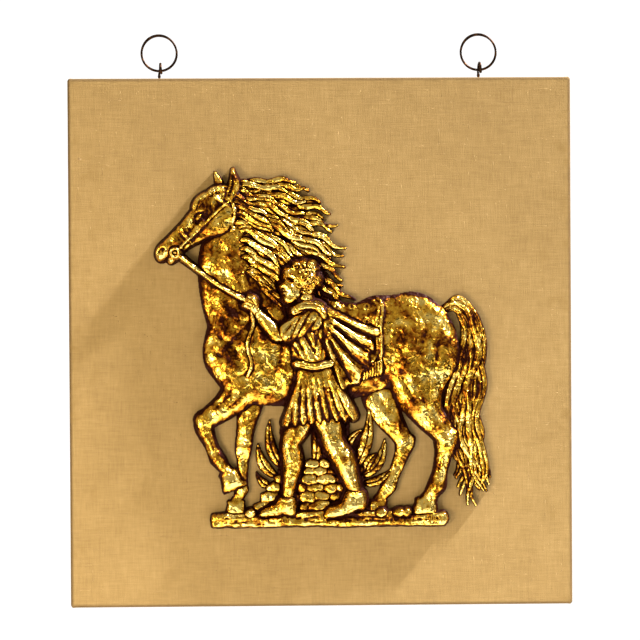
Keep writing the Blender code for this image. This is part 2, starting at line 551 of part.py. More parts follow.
def rein_arm(g):
    """The near arm, raised to the horse's neck, with the rein gripped in the hand."""
    sleeve = tube(g, [(-4, 196, 12, 17, 6), (-16, 189, 11.5, 17, 7), (-27, 183.5, 9.8, 17, 5.8)], 12)
    creases = (
        [(-2, 207, 0.3), (-9, 197), (-15, 186), (-20, 175, 0.6)],
        [(-12, 203, 0.3), (-18, 193), (-24, 178, 0.6)],
        [(4, 200, 0.3), (-3, 190), (-10, 178, 0.5)], [(-20, 199, 0.3), (-25, 190), (-31, 182, 0.6)],
    )
    for points in creases:
        sleeve = stroke(g, sleeve, points, 1.7, 1.7)
    upper = [(-18, 187, 7.4, 16, 6), (-34, 181, 6.8, 16, 6), (-40, 181, 6.2, 16, 5.6)]
    lower = [(-38, 180, 6.4, 16, 5.8), (-47, 191, 6.6, 16, 6), (-58, 204, 4.4, 16, 4.8),
             (-61, 208, 4.4, 16, 4.8)]
    palm = [(-61, 209, 5.6, 16, 5), (-65, 214.5, 6, 16, 5.2)]
    arm = limbs(g, [upper, lower, palm], 1.2, 10)
    arm = stroke(g, arm, [(-54, 206), (-58, 202), (-60, 198)], -1.3, 1.2)
    for i in range(4):
        x, z = -71 + 1.9 * i, 211 + 2.5 * i
        finger = [(x, z, 2, 18, 2.4), (x + 2.6, z - 0.4, 2.2, 19, 2.6), (x + 5.4, z - 2.4, 1.9, 19, 2.2)]
        arm = over(arm, tube(g, finger, 3), 0.7, 0.7)
    thumb = [(-59, 213, 2.2, 19, 2.6), (-62, 217.5, 2.1, 19.6, 2.6), (-66, 219.5, 1.7, 19, 2.2)]
    return sleeve, over(arm, tube(g, thumb, 3), 0.7, 0.7)


HEAD_MIDDLE = (-13.0, 237.0)
CURL_GAP = 6.6
CURL_TURNS = ((3.3, 0.0), (3.3, 1.1), (2.9, 2.2), (2.3, 3.3), (1.6, 4.4), (0.8, 5.5))


def groom_head(g):
    """A plain profile to the left under a cap of curls."""
    neck = tube(g, [(-7, 203, 9.5, 14, 6.4), (-11, 219, 8, 14, 6)], 12)
    neck = stroke(g, neck, tapered([(-16, 228), (-13, 216), (-9, 206)]), 1.2, 1.8)
    skull = tube(g, [(-13, 237, 13, 15, 7.5), (-17, 237, 12.8, 15, 7.5)])
    brow = [(-28.6, 247), (-30.6, 242.6), (-30.8, 238.6), (-29.7, 236.2)]
    nose = [(-31.4, 233.4), (-34.6, 229.6), (-33.6, 228), (-30.9, 227.7)]
    lips = [(-32, 225.6), (-30.8, 224.4), (-31.5, 222.6), (-29.7, 221)]
    chin = [(-31, 217.6), (-29.4, 214.4), (-25.4, 213.4), (-18, 217), (-13, 225), (-13, 240), (-20, 248)]
    skull = blend(skull, plate(g, brow + nose + lips + chin, 20.5, edge=4.4, crown=1.2, per_span=4)[0], 1.6)
    cheek = [(-24.5, 229, 4.2, 17.5, 5.2), (-22.5, 224, 4.6, 17, 4.8), (-22, 219.5, 4, 16.6, 4.4)]
    skull = blend(skull, tube(g, cheek, 6), 1.6)
    skull = stroke(g, skull, tapered([(-29, 226.9), (-26, 228.2), (-25, 231.4), (-25, 233)]), 0.8, 1.0)
    eyelid = tapered([(-30.8, 236.4), (-27.6, 236.9), (-23.4, 235.4), (-20.6, 233.6)])
    eyebrow = tapered([(-30.6, 239.4), (-27, 240.2), (-22.8, 238.8), (-19.6, 236.4)])
    skull = stroke(g, stroke(g, skull, eyelid, 2.0, 1.5), eyebrow, -1.5, 1.2)
    skull = blend(skull, tube(g, [(-27.8, 235, 1.7, 18.6, 2), (-25.6, 234.7, 1.7, 18.6, 2)], 4), 0.3)
    skull = stroke(g, skull, [(-29.4, 235.9), (-27, 236.5), (-24, 235.2)], -0.7, 0.6)
    skull = stroke(g, skull, [(-29.4, 233.9), (-27, 233.2), (-24.4, 234)], -0.5, 0.6)
    skull = stroke(g, skull, [(-32.4, 224.2), (-29.6, 224.2), (-27, 223.6, 0.2)], 1.5, 0.7)
    skull = stroke(g, skull, tapered([(-33.2, 229), (-31.4, 229.8), (-30.6, 231.2)]), 0.9, 0.8)
    rng = np.random.default_rng(8)
    hair = tube(g, [(-14, 240, 12.6, 14.5, 6), (-9.5, 235, 12, 14.5, 6)], 12)
    for row in range(-3, 4):
        for column in range(-3, 4):
            x = HEAD_MIDDLE[0] + 2 + CURL_GAP * (column + 0.5 * (row % 2)) + rng.uniform(-0.9, 0.9)
            z = HEAD_MIDDLE[1] + 1 + 0.87 * CURL_GAP * row + rng.uniform(-0.9, 0.9)
            out = math.hypot((x - HEAD_MIDDLE[0] - 2) / 15.5, (z - HEAD_MIDDLE[1] - 1) / 15)
            on_face = x < -19.5 and z < 244.5
            below_ear = z < 226 - 0.45 * (x - HEAD_MIDDLE[0])
            if out > 1.0 or on_face or below_ear:
                continue
            turn, high = rng.uniform(0, 6.3), 21.5 - 4.5 * out ** 2
            spiral = [(x + r * math.cos(turn + a), z + r * math.sin(turn + a), 1.6, high - 2.6, 3)
                      for r, a in CURL_TURNS]
            hair = over(hair, tube(g, spiral, 4), 1.2, 0.9)
    return neck, skull, hair


CLOAK_FOLDS = (
    [(0, 208, 0.4), (24, 199), (44, 190), (63, 184)], [(2, 205, 0.4), (22, 192), (40, 180), (58, 171)],
    [(3, 203, 0.4), (20, 184), (36, 169), (55, 156)], [(4, 200, 0.4), (17, 176), (30, 157), (46, 139)],
    [(4, 196, 0.4), (12, 172), (19, 152), (27, 128)],
)


def cloak(g):
    """A short cloak blown back from the shoulders, and the roll of cloth around the neck."""
    top_edge = [(-2, 213), (14, 208), (32, 199), (50, 191), (64, 187), (66, 180)]
    hem = [(58, 175), (60, 166), (54, 158), (56, 148), (46, 142), (44, 132), (33, 130), (27, 122), (18, 130)]
    inner_edge = [(11, 152), (6, 180), (-2, 198)]
    h = plate(g, top_edge + hem + inner_edge, 15, edge=4, crown=2.5, per_span=4)[0]
    for points in CLOAK_FOLDS:
        h = stroke(g, h, points, -3.6, 3.0)
    for a, b in zip(CLOAK_FOLDS[:-1], CLOAK_FOLDS[1:]):
        valley = [between(p, q, 0.5) for p, q in zip(a[1:], b[1:])]
        h = stroke(g, h, valley, 1.8, 1.8)
    roll = tube(g, [(-20, 205, 4.6, 19, 4), (-10, 209, 5.6, 19, 4.6), (2, 207, 5.4, 18.4, 4.6),
                    (8, 200, 4.6, 17.5, 4)])
    roll = stroke(g, roll, tapered([(-22, 203), (-12, 206), (-2, 206), (6, 200)]), 1.6, 1.0)
    roll = stroke(g, roll, tapered([(-18, 209), (-8, 211.5), (2, 210), (8, 204)]), 1.4, 0.9)
    return h, roll


def rein(g):
    """The rein from the bit to the hand, its hanging end, and the ring of the bit."""
    bit = on_head(76, -6.5)
    held = tube(g, [(*bit, 1.9, 13, 2), (-122, 250, 1.8, 10, 2), (-98, 232, 1.8, 14, 2),
                    (-70, 216, 1.8, 18, 2)])
    free = tube(g, [(-64, 210, 1.8, 17.5, 2), (-62, 192, 1.8, 17, 2), (-68, 172, 1.8, 16.5, 2),
                    (-64, 152, 1.7, 16, 2), (-68, 140, 1.4, 15.6, 1.6)])
    around = [(bit[0] + 4.2 * math.cos(a), bit[1] + 4.2 * math.sin(a), 1.3, 14.5, 2)
              for a in np.linspace(0, 2 * math.pi, 13)]
    return held, tube(g, around, 2), free


def outcrop(g):
    """Broken stones behind the groom's feet, larger at the foot of the heap."""
    rng = np.random.default_rng(12)
    h = g.blank()
    z = 50.0
    while z > -2:
        size = 6.5 + 3.5 * (1 - z / 50)
        half = 60 - 0.52 * z
        x = 4 - half + rng.uniform(0, size)
        while x < 4 + half:
            wide = size * rng.uniform(0.9, 1.5)
            corners = []
            for k in range(7):
                a = 2 * math.pi * (k + rng.uniform(-0.25, 0.25)) / 7
                tall = 0.82 * size * rng.uniform(0.8, 1.15)
                corners.append((x + wide * math.cos(a), z + tall * math.sin(a)))
            high = 6.2 + rng.uniform(-0.6, 2.2) - 0.02 * z
            stone = plate(g, corners, high, edge=3.4, crown=1.4, curved=False)[0]
            slant = rng.uniform(-0.09, 0.09)
            h = over(h, np.where(stone > 0, stone + slant * (g.x - x), stone), 0.9, 1.0)
            x += 1.5 * wide
        z -= 1.15 * size
    return h


def leaf(g, root, tip, bend, wide, edge, crown):
    """A broad blade with a midrib and side veins."""
    (x0, z0), (x1, z1) = root, tip
    dx, dz = x1 - x0, z1 - z0

    def at(t, away=0.0):
        arch = 4 * bend * t * (1 - t) + away
        return x0 + t * dx - arch * dz, z0 + t * dz + arch * dx

    widths = ((0, 0.28), (0.22, 0.8), (0.5, 1), (0.8, 0.58), (1, 0.14))
    h = tube(g, [(*at(t), wide * w, edge, crown * (0.4 + 0.6 * w)) for t, w in widths])
    h = stroke(g, h, [at(t) for t in (0, 0.3, 0.6, 0.95)], 1.5, 0.9)
    reach = 0.8 * wide / math.hypot(dx, dz)
    for t in (0.25, 0.42, 0.59, 0.76):
        for side in (-1, 1):
            vein = [at(t), at(t + 0.5 * reach, side * 0.6 * reach), at(t + reach, side * reach)]
            h = stroke(g, h, vein, 0.6, 0.7, 3)
    return h


def shrub(g):
    """Broad leaves that rise behind the outcrop to the horse's belly."""
    leaves = (
        ((46, 30), (76, 44), -0.14, 5.2), ((44, 36), (70, 74), -0.16, 6), ((36, 42), (54, 104), -0.1, 6.5),
        ((26, 44), (36, 112), 0.05, 6.5), ((12, 44), (12, 112), 0.1, 6), ((-2, 44), (-6, 112), -0.08, 6),
        ((-16, 44), (-30, 110), 0.1, 6.5), ((-28, 42), (-46, 94), 0.14, 6),
        ((-36, 36), (-58, 70), 0.16, 5.4), ((-40, 26), (-60, 42), 0.16, 4.6),
        ((50, 42), (62, 60), 0.1, 5), ((30, 44), (46, 84), 0.18, 5.5),
        ((-34, 42), (-36, 82), -0.14, 5.5), ((20, 46), (22, 92), -0.16, 5.5),
        ((-10, 46), (-18, 84), 0.12, 5),
    )
    tops = [leaf(g, root, tip, bend, wide, 3.4 + 0.5 * (i % 3), 3.4)
            for i, (root, tip, bend, wide) in enumerate(leaves)]
    return pile(g.blank(), tops, 1.0, 1.1)


def ground(g):
    """The strip that everything stands on: rough along its top and foot, chipped at its ends, with
    ledges on its face and stones along it."""
    rng = np.random.default_rng(2)
    left, right, foot = -105.0, 133.0, -13.0
    steps = 34
    along = np.linspace(left + 1.0, right - 3.5, steps)
    swell = 1.6 * np.sin((along - left) / 38.0 - 1.5) + 0.7 * np.sin((along - left) / 9.0)
    top = [(x, 0.7 + s + rng.uniform(-0.9, 1.1)) for x, s in zip(along, swell)]
    under = [(x, foot + rng.uniform(0.0, 1.5)) for x in along[::-1]]
    right_end = [(right - 1.4, -1.5), (right, -5.0), (right - 0.8, -9.0)]
    left_end = [(left + 0.8, -10.5), (left, -6.0), (left + 0.5, -2.0)]
    h = plate(g, top + right_end + under + left_end, 10.5, edge=2.6, curved=False)[0]
    for z in (-3.5, -7.5, -11.5):
        x = left + rng.uniform(2, 14)
        while x < right - 30:
            long = rng.uniform(14, 34)
            drift = rng.uniform(-1.2, 1.2, 3)
            ledge = [(x, z, 0.2), (x + 0.3 * long, z + drift[0]), (x + 0.7 * long, z + drift[1]),
                     (x + long, z + drift[2], 0.2)]
            h = stroke(g, h, ledge, 1.0, 1.3)
            x += long + rng.uniform(4, 14)
    for x in (-66, -50, 66, 84, 92):
        wide = rng.uniform(4, 6.5)
        stone = [(x - wide, -0.5), (x - 0.5 * wide, 3.6), (x + 0.4 * wide, 4.4), (x + wide, 0.5), (x, -3.5)]
        h = over(h, plate(g, stone, 12.5, edge=3, crown=1, per_span=3)[0], 0.9, 1.1)
    return h


def carve(g, strands):
    """The height of the whole casting above its back, everywhere on the drawing."""
    h = soften(blend(far_hind_leg(g), far_fore_leg(g), 0), g, 1.2, 2.0)
    h = over(h, over(shrub(g), outcrop(g)), 1.0)
    h = over(h, tail(g, strands), 1.0)
    horse = blend(blend(trunk(g), near_hind_leg(g), 6), near_fore_leg(g), 4)
    h = over(h, soften(horse, g, 2.0, 2.0), 1.2)
    h = saddle_cloth(g, muscles(g, h))
    near_ear, far_ear = ears(g)
    h = over(h, far_ear, 0.8)
    h = bridle(g, over(h, soften(horse_head(g), g, 0.7, 2.0), fillet=0.8))
    h = over(over(h, mane(g, strands), 1.0, 1.4), near_ear, 1.0)
    h = over(h, ground(g), 0.8, 1.5)
    h = pile(h, rein(g), 0.8, 1.2)
    far, near = groom_legs(g)
    torso, belt = tunic(g)
    sleeve, arm = rein_arm(g)
    neck, skull, hair = groom_head(g)
    drape, roll = cloak(g)
    return pile(h, (far, near, drape, neck, torso, belt, skull, hair, roll, arm, sleeve))


def flood(seed, allowed):
    """The part of a region that joins on to the seeds."""
    while True:
        wider = seed.copy()
        wider[1:] |= seed[:-1]
        wider[:-1] |= seed[1:]
        wider[:, 1:] |= seed[:, :-1]
        wider[:, :-1] |= seed[:, 1:]
        wider &= allowed
        if (wider == seed).all():
            return seed
        seed = wider


def one_casting(h, g):
    """The heights with loose specks removed and pinholes closed, so that the casting is one body."""
    solid = h > RIM_LEVEL
    seed = solid & (np.hypot(g.x - 20, g.z - 170) < 20)
    h = np.where(solid & ~flood(seed, solid), RIM_LEVEL - 1, h)
    gap = h <= RIM_LEVEL
    core = gap.copy()
    for _ in range(int(round(SMALLEST_HOLE / (2 * g.step)))):
        core[1:-1, 1:-1] &= core[2:, 1:-1] & core[:-2, 1:-1] & core[1:-1, 2:] & core[1:-1, :-2]
    return np.where(gap & ~flood(core, gap), RIM_LEVEL + 0.6, h)


def relief_surface(h, g, place):
    """Vertices and faces of the carved front: grid squares, trimmed where the surface drops to the rim."""
    inside = h > RIM_LEVEL
    names = {}
    points = []

    def corner(r, c):
        key = (r, c)
        if key not in names:
            names[key] = len(points)
            points.append(place(g.xs[c], g.zs[r], h[r, c]))
        return names[key]

    def crossing(r0, c0, r1, c1):
        key = (r0, c0, r1, c1) if (r0, c0) < (r1, c1) else (r1, c1, r0, c0)
        if key not in names:
            t = (RIM_LEVEL - h[r0, c0]) / (h[r1, c1] - h[r0, c0])
            t = min(max(t, 0.04), 0.96)
            names[key] = len(points)
            x = g.xs[c0] + t * (g.xs[c1] - g.xs[c0])
            z = g.zs[r0] + t * (g.zs[r1] - g.zs[r0])
            points.append(place(x, z, RIM_LEVEL))
        return names[key]

    faces = []
    rows, cols = np.nonzero(inside[:-1, :-1] | inside[1:, :-1] | inside[:-1, 1:] | inside[1:, 1:])
    for r, c in zip(rows.tolist(), cols.tolist()):
        ring = [(r, c), (r, c + 1), (r + 1, c + 1), (r + 1, c)]
        full = [bool(inside[p]) for p in ring]
        if all(full):
            faces.append([corner(*p) for p in ring])
        elif sum(full) == 2 and full[0] == full[2]:
            for k in (0, 1, 2, 3):
                if full[k]:
                    before, after = ring[k - 1], ring[(k + 1) % 4]
                    faces.append([crossing(*ring[k], *before), corner(*ring[k]), crossing(*ring[k], *after)])
        else:
            face = []
            for k in range(4):
                after = (k + 1) % 4
                if full[k]:
                    face.append(corner(*ring[k]))
                if full[k] != full[after]:
                    face.append(crossing(*ring[k], *ring[after]))
            faces.append(face)
    return points, faces


def finish_object(name, bm, material, smooth=True):
    bmesh.ops.recalc_face_normals(bm, faces=bm.faces)
    mesh = bpy.data.meshes.new(name)
    bm.to_mesh(mesh)
    bm.free()
    mesh.materials.append(material)
    if smooth:
        mesh.shade_smooth()
        mesh.set_sharp_from_angle(angle=math.radians(35))
    obj = bpy.data.objects.new(name, mesh)
    bpy.context.scene.collection.objects.link(obj)
    return obj


def horse_relief():
    """The casting: a carved front, a thin upright rim and a flat back just clear of the linen."""
    g = Drawing(-172, 186, -20, 354, CARVING_STEP)
    h = one_casting(carve(g, 0.0), g)
    scale = RELIEF_HEIGHT / DRAWN_TALL
    back_y = -PLAQUE_DEPTH - TOUCH_GAP
    foot_z = CENTRE_Z - 0.5 * PLAQUE_HEIGHT + RELIEF_FOOT_RISE

    def place(x, z, height):
        across, up = scale * (x - DRAWN_MIDDLE), scale * (z - DRAWN_FOOT)
        return RELIEF_SHIFT + across, back_y - scale * height, foot_z + up

    points, faces = relief_surface(h, g, place)
    bm = bmesh.new()
    verts = [bm.verts.new(p) for p in points]
    for face in faces:
        bm.faces.new([verts[i] for i in face])
    rim = [e for e in bm.edges if e.is_boundary]
    walls = bmesh.ops.extrude_edge_only(bm, edges=rim)["geom"]
    for v in walls:
        if isinstance(v, bmesh.types.BMVert):
            v.co.y = back_y
    foot = [e for e in walls if isinstance(e, bmesh.types.BMEdge) and e.is_boundary]
    bmesh.ops.triangle_fill(bm, use_beauty=True, use_dissolve=False, edges=foot, normal=(0, 1, 0))
    bmesh.ops.triangulate(bm, faces=bm.faces)
    count = len(bm.faces)
    obj = finish_object("horse_relief", bm, material("antique_brass", (0.52, 0.33, 0.08), 0.34, 1.0))
    thin = obj.modifiers.new("Fewer facets", "DECIMATE")
    thin.ratio = RELIEF_TRIANGLES / count
    return obj


def material(name, colour, roughness, metallic):
    mat = bpy.data.materials.get(name) or bpy.data.materials.new(name)
    mat.use_nodes = True
    shader = mat.node_tree.nodes["Principled BSDF"]
    shader.inputs["Base Color"].default_value = (*colour, 1)
    shader.inputs["Roughness"].default_value = roughness
    shader.inputs["Metallic"].default_value = metallic
    mat.diffuse_color = (*colour, 1)
    return mat


def rounded_loop(bm, inset, y, outer_corner=PLAQUE_CORNER):
    """A ring of vertices round the plaque at one depth, inset from its edge, with rounded corners."""
    radius = max(outer_corner - inset, SMALLEST_CORNER)
    half_x, half_z = 0.5 * PLAQUE_WIDTH - inset - radius, 0.5 * PLAQUE_HEIGHT - inset - radius
    loop = []
    for quarter, (sx, sz) in enumerate(((1, 1), (-1, 1), (-1, -1), (1, -1))):
        for k in range(CORNER_POINTS):
            a = 0.5 * math.pi * (quarter + k / (CORNER_POINTS - 1))
            x = sx * half_x + radius * math.cos(a)
            z = CENTRE_Z + sz * half_z + radius * math.sin(a)
            loop.append(bm.verts.new((x, y, z)))
    return loop


def rounded_edge(inset, front, back, radius):
    """Inset and depth of the loops of a rounded slab's side, from its front face to its back face."""
    steps = [0.5 * math.pi * k / 3 for k in range(4)]
    turn_in = [(inset + radius * (1 - math.sin(a)), front + radius * (1 - math.cos(a))) for a in steps]
    turn_out = [(inset + radius * (1 - math.cos(a)), back - radius * (1 - math.sin(a))) for a in steps]
    return turn_in + turn_out


def skin_loops(bm, loops, closed):
    """Faces between each loop and the next."""
    pairs = zip(loops, loops[1:] + loops[:1]) if closed else zip(loops[:-1], loops[1:])
    for a, b in pairs:
        for k in range(len(a)):
            after = (k + 1) % len(a)
            bm.faces.new((a[k], a[after], b[after], b[k]))


def drill(obj, radius, bottom_z, top_z):
    """Cuts the two upright holes for the screw eyes' shanks."""
    for side in (-1, 1):
        bm = bmesh.new()
        deep = top_z - bottom_z
        bmesh.ops.create_cone(bm, cap_ends=True, segments=12, radius1=radius, radius2=radius, depth=deep)
        middle = (side * 0.5 * HANGER_SPACING, MIDDLE_Y, bottom_z + 0.5 * deep)
        bmesh.ops.translate(bm, verts=bm.verts, vec=middle)
        mesh = bpy.data.meshes.new(obj.name + "_bore")
        bm.to_mesh(mesh)
        bm.free()
        cutter = bpy.data.objects.new(mesh.name, mesh)
        bpy.context.scene.collection.objects.link(cutter)
        cutter.display_type = "WIRE"
        cutter.hide_render = True
        cut = obj.modifiers.new("Shank bore", "BOOLEAN")
        cut.object = cutter
        cut.solver = "EXACT"


def panel():
    """The wooden board, rounded at its edges, with a bore for each screw eye."""
    bm = bmesh.new()
    radius = max(EDGE_ROUND - SKIN, SMALLEST_CORNER)
    sides = rounded_edge(SKIN, -PLAQUE_DEPTH + SKIN, -SKIN, radius)
    loops = [rounded_loop(bm, inset, y) for inset, y in sides]
    skin_loops(bm, loops, closed=False)
    bm.faces.new(loops[0])
    bm.faces.new(loops[-1])
    obj = finish_object("panel", bm, material("pine_board", (0.62, 0.43, 0.24), 0.6, 0.0))
    drill(obj, SHANK_BORE_RADIUS, TOP_EDGE - SHANK_LENGTH - TOUCH_GAP, TOP_EDGE + TOUCH_GAP)
    return obj


def linen_cover():
    """The linen: one cloth over the front and the sides, turned over onto the back as hems."""
    bm = bmesh.new()
    outside = rounded_edge(0.0, -PLAQUE_DEPTH, 0.0, EDGE_ROUND)
    inner_radius = max(EDGE_ROUND - LINEN_THICK, SMALLEST_CORNER)
    inside = rounded_edge(LINEN_THICK, -PLAQUE_DEPTH + LINEN_THICK, -LINEN_THICK, inner_radius)
    rows = outside + [(HEM_WIDTH, 0.0), (HEM_WIDTH, -LINEN_THICK)] + inside[::-1]
    loops = [rounded_loop(bm, inset, y) for inset, y in rows]
    skin_loops(bm, loops, closed=False)
    bm.faces.new(loops[0])
    bm.faces.new(loops[-1])
    obj = finish_object("linen_cover", bm, material("tan_linen", (0.60, 0.40, 0.19), 0.9, 0.0))
    drill(obj, SHANK_BORE_RADIUS, TOP_EDGE - SKIN - 0.5 * TOUCH_GAP, TOP_EDGE + TOUCH_GAP)
    return obj


def wire(bm, path, radii, closed=False):
    """A round wire along a path, with its ends capped unless it is closed."""
    p = np.array(path, float)
    if closed:
        run = np.roll(p, -1, 0) - np.roll(p, 1, 0)
    else:
        run = np.gradient(p, axis=0)
    run /= np.linalg.norm(run, axis=1, keepdims=True)
    side = np.array([1.0, 0.0, 0.0])
    if abs(run[0] @ side) > 0.9:
        side = np.array([0.0, 1.0, 0.0])
    loops = []
    for centre, along, radius in zip(p, run, radii):
        side = side - (side @ along) * along
        side /= np.linalg.norm(side)
        up = np.cross(along, side)
        turn = [2 * math.pi * k / WIRE_SIDES for k in range(WIRE_SIDES)]
        loops.append([bm.verts.new(centre + radius * (math.cos(a) * side + math.sin(a) * up)) for a in turn])
    skin_loops(bm, loops, closed)
    if not closed:
        bm.faces.new(loops[0])
        bm.faces.new(loops[-1])


def screw_eye(name, x):
    """A rod with a pointed shank in the board, bent into an eye whose end lies beside its neck."""
    radius = 0.5 * EYE_WIRE
    point_z = TOP_EDGE - SHANK_LENGTH
    neck_z = EYE_CENTRE_Z - EYE_MEAN_RADIUS - 0.9 * EYE_WIRE
    path = [(0, 0, point_z), (0, 0, point_z + 0.25 * SHANK_LENGTH), (0, 0, TOP_EDGE), (0, 0, neck_z),
            (0, 0.12 * EYE_WIRE, neck_z + 0.5 * EYE_WIRE)]
    radii = [0.25 * SHANK_DIAMETER, 0.5 * SHANK_DIAMETER, 0.5 * SHANK_DIAMETER, radius, radius]
    first, last = math.radians(-72), math.radians(252)
    for k in range(LOOP_STEPS + 1):
        t = k / LOOP_STEPS
        a = first + t * (last - first)
        y, z = EYE_MEAN_RADIUS * math.cos(a), EYE_CENTRE_Z + EYE_MEAN_RADIUS * math.sin(a)
        path.append((EYE_DRIFT * t, y, z))
        radii.append(radius)
    bm = bmesh.new()
    wire(bm, [(x + px, MIDDLE_Y + py, pz) for px, py, pz in path], radii)
    return finish_object(name, bm, material("dark_iron", (0.055, 0.035, 0.022), 0.45, 0.9))


def hanging_ring(name, x):
    """A loose ring through an eye. Its origin is the middle of its lowest wire, where it swings."""
    path = []
    for k in range(RING_STEPS):
        a = 2 * math.pi * (k + 0.5) / RING_STEPS
        path.append((RING_MEAN_RADIUS * math.sin(a), 0, RING_MEAN_RADIUS * (1 - math.cos(a))))
    bm = bmesh.new()
    wire(bm, path, [0.5 * RING_WIRE] * RING_STEPS, closed=True)
    obj = finish_object(name, bm, material("dark_iron", (0.055, 0.035, 0.022), 0.45, 0.9))
    obj.location = (x, MIDDLE_Y, PIVOT_Z)
    return obj


def build():
    for obj in list(bpy.data.objects):
        bpy.data.objects.remove(obj, do_unlink=True)
    panel()
    linen_cover()
    horse_relief()
    for side, sign in (("left", -1), ("right", 1)):
        screw_eye("screw_eye_" + side, sign * 0.5 * HANGER_SPACING)
        hanging_ring("ring_" + side, sign * 0.5 * HANGER_SPACING)


build()
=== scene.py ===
"""The looks of the relief plaque: a cast brass horse and groom on a board covered with tan linen.

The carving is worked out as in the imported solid, on a finer grid, with hair strands, a worked surface and
the places where dark wax lies in the recesses.
"""
import math

import bmesh
import bpy
import numpy as np
from mathutils import Matrix, Vector


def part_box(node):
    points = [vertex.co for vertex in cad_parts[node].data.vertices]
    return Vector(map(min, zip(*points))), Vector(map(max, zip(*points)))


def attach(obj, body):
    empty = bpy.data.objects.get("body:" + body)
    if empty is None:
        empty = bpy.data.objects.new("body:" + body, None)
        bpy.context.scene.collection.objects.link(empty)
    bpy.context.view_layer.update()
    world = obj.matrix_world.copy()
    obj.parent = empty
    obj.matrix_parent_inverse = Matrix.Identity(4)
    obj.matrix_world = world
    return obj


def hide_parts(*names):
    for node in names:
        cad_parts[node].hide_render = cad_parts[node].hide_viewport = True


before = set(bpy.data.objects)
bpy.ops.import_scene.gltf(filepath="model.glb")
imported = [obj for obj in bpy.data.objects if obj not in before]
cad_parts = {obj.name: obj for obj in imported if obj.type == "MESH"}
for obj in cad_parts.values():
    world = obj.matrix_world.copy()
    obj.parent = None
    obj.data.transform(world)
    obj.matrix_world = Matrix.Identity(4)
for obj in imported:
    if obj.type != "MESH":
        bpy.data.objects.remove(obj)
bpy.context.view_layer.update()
LINEN_LOW, LINEN_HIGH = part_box("linen_cover")
RELIEF_LOW, RELIEF_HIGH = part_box("horse_relief")

# The covered board, in metres
HALF_WIDTH = 0.5 * (LINEN_HIGH.x - LINEN_LOW.x)
HALF_HEIGHT = 0.5 * (LINEN_HIGH.z - LINEN_LOW.z)
PLAQUE_DEPTH = LINEN_HIGH.y - LINEN_LOW.y
CENTRE_Z = 0.5 * (LINEN_LOW.z + LINEN_HIGH.z)
CORNER_ROUND = 0.0030
EDGE_ROUND = 0.0022
TIGHT_CORNER = 0.0008
LINEN_THICK = 0.0009
HEM_WIDTH = 0.040

# The carving, in millimetres on its drawing
FINE_STEP = 0.62
STRAND_DEPTH = 0.9
SMALLEST_HOLE = 6.0
RIM_LEVEL = 2.5
SOFT_LEVEL = 2.0
FAR_BELOW = -60.0
WALL_SLOPE = 2.6
GROOVE = 1.6
GROOVE_WIDTH = 2.2
STROKE_WIDTH = 1.6
EDGE_DROP = 0.6
DRAWING_BOX = (-172, 186, -20, 354)
BODY_MIDDLE = (20, 170)
BODY_REACH = 20
LIMB_FADE = 12.0
PLATE_FADE = 14.0


class Drawing:
    """A grid of points over the relief's face, on which heights are carved."""

    def __init__(self, left, right, bottom, top, step):
        self.xs = np.arange(left, right + 0.5 * step, step)
        self.zs = np.arange(bottom, top + 0.5 * step, step)
        self.step = step
        self.x, self.z = np.meshgrid(self.xs, self.zs)

    def blank(self):
        return np.full(self.x.shape, FAR_BELOW)

    def window(self, x0, x1, z0, z1):
        a, b = np.searchsorted(self.xs, (x0, x1))
        c, d = np.searchsorted(self.zs, (z0, z1))
        return slice(max(c - 1, 0), d + 1), slice(max(a - 1, 0), b + 1)

    def beside(self, a, b, far):
        """The part of the grid near a piece of line from a to b: its window, how far along the line
        each point lies, between 0 and 1, and its offsets from the line."""
        window = self.window(min(a[0], b[0]) - far, max(a[0], b[0]) + far,
                             min(a[1], b[1]) - far, max(a[1], b[1]) + far)
        return window, *nearest_on(a, b, self.x[window], self.z[window])


def nearest_on(a, b, x, z):
    """How far along from a to b the nearest point of that piece of line lies, and the offsets from it."""
    dx, dz = b[0] - a[0], b[1] - a[1]
    t = np.clip(((x - a[0]) * dx + (z - a[1]) * dz) / max(dx * dx + dz * dz, 1e-9), 0, 1)
    return t, x - a[0] - t * dx, z - a[1] - t * dz


def smooth_line(points, per_span):
    """A Catmull-Rom curve through the points, with every column smoothed alike."""
    p = np.array(points, float)
    ends = np.vstack([2 * p[0] - p[1], p, 2 * p[-1] - p[-2]])
    t = (np.arange(per_span) / per_span)[:, None]
    spans = []
    for a, b, c, d in zip(ends[:-3], ends[1:-2], ends[2:-1], ends[3:]):
        bend = (2 * a - 5 * b + 4 * c - d) * t ** 2 + (3 * b - a - 3 * c + d) * t ** 3
        spans.append(0.5 * (2 * b + (c - a) * t + bend))
    return np.vstack(spans + [p[-1:]])


def blend(a, b, width):
    """The higher of two surfaces, with the corner between them filled over a width."""
    high = np.maximum(a, b)
    if width <= 0:
        return high
    return high + np.clip(width - np.abs(a - b), 0, None) ** 2 / (4 * width)


def tube(g, points, per_span=8, places=False):
    """A round limb along points (x, z, radius, height of its edge, crown above the edge)."""
    line = smooth_line(points, per_span)
    h, along, across = g.blank(), np.zeros(g.x.shape), np.full(g.x.shape, 9.0)
    far = LIMB_FADE + line[:, 2].max()
    last = max(len(line) - 2, 1)
    for i, (a, b) in enumerate(zip(line[:-1], line[1:])):
        window, t, ex, ez = g.beside(a, b, far)
        r, edge, crown = (a[k] + t * (b[k] - a[k]) for k in (2, 3, 4))
        out = np.hypot(ex, ez)
        dome = crown * np.sqrt(np.clip(1 - (out / r) ** 2, 0, 1))
        new = edge + dome - WALL_SLOPE * np.clip(out - r, 0, None)
        better = new > h[window]
        h[window] = np.where(better, new, h[window])
        if places:
            side = np.sign(ex * (b[1] - a[1]) - ez * (b[0] - a[0])) * out / r
            along[window] = np.where(better, (i + t) / (last + 1), along[window])
            across[window] = np.where(better, side, across[window])
    return (h, along, across) if places else h


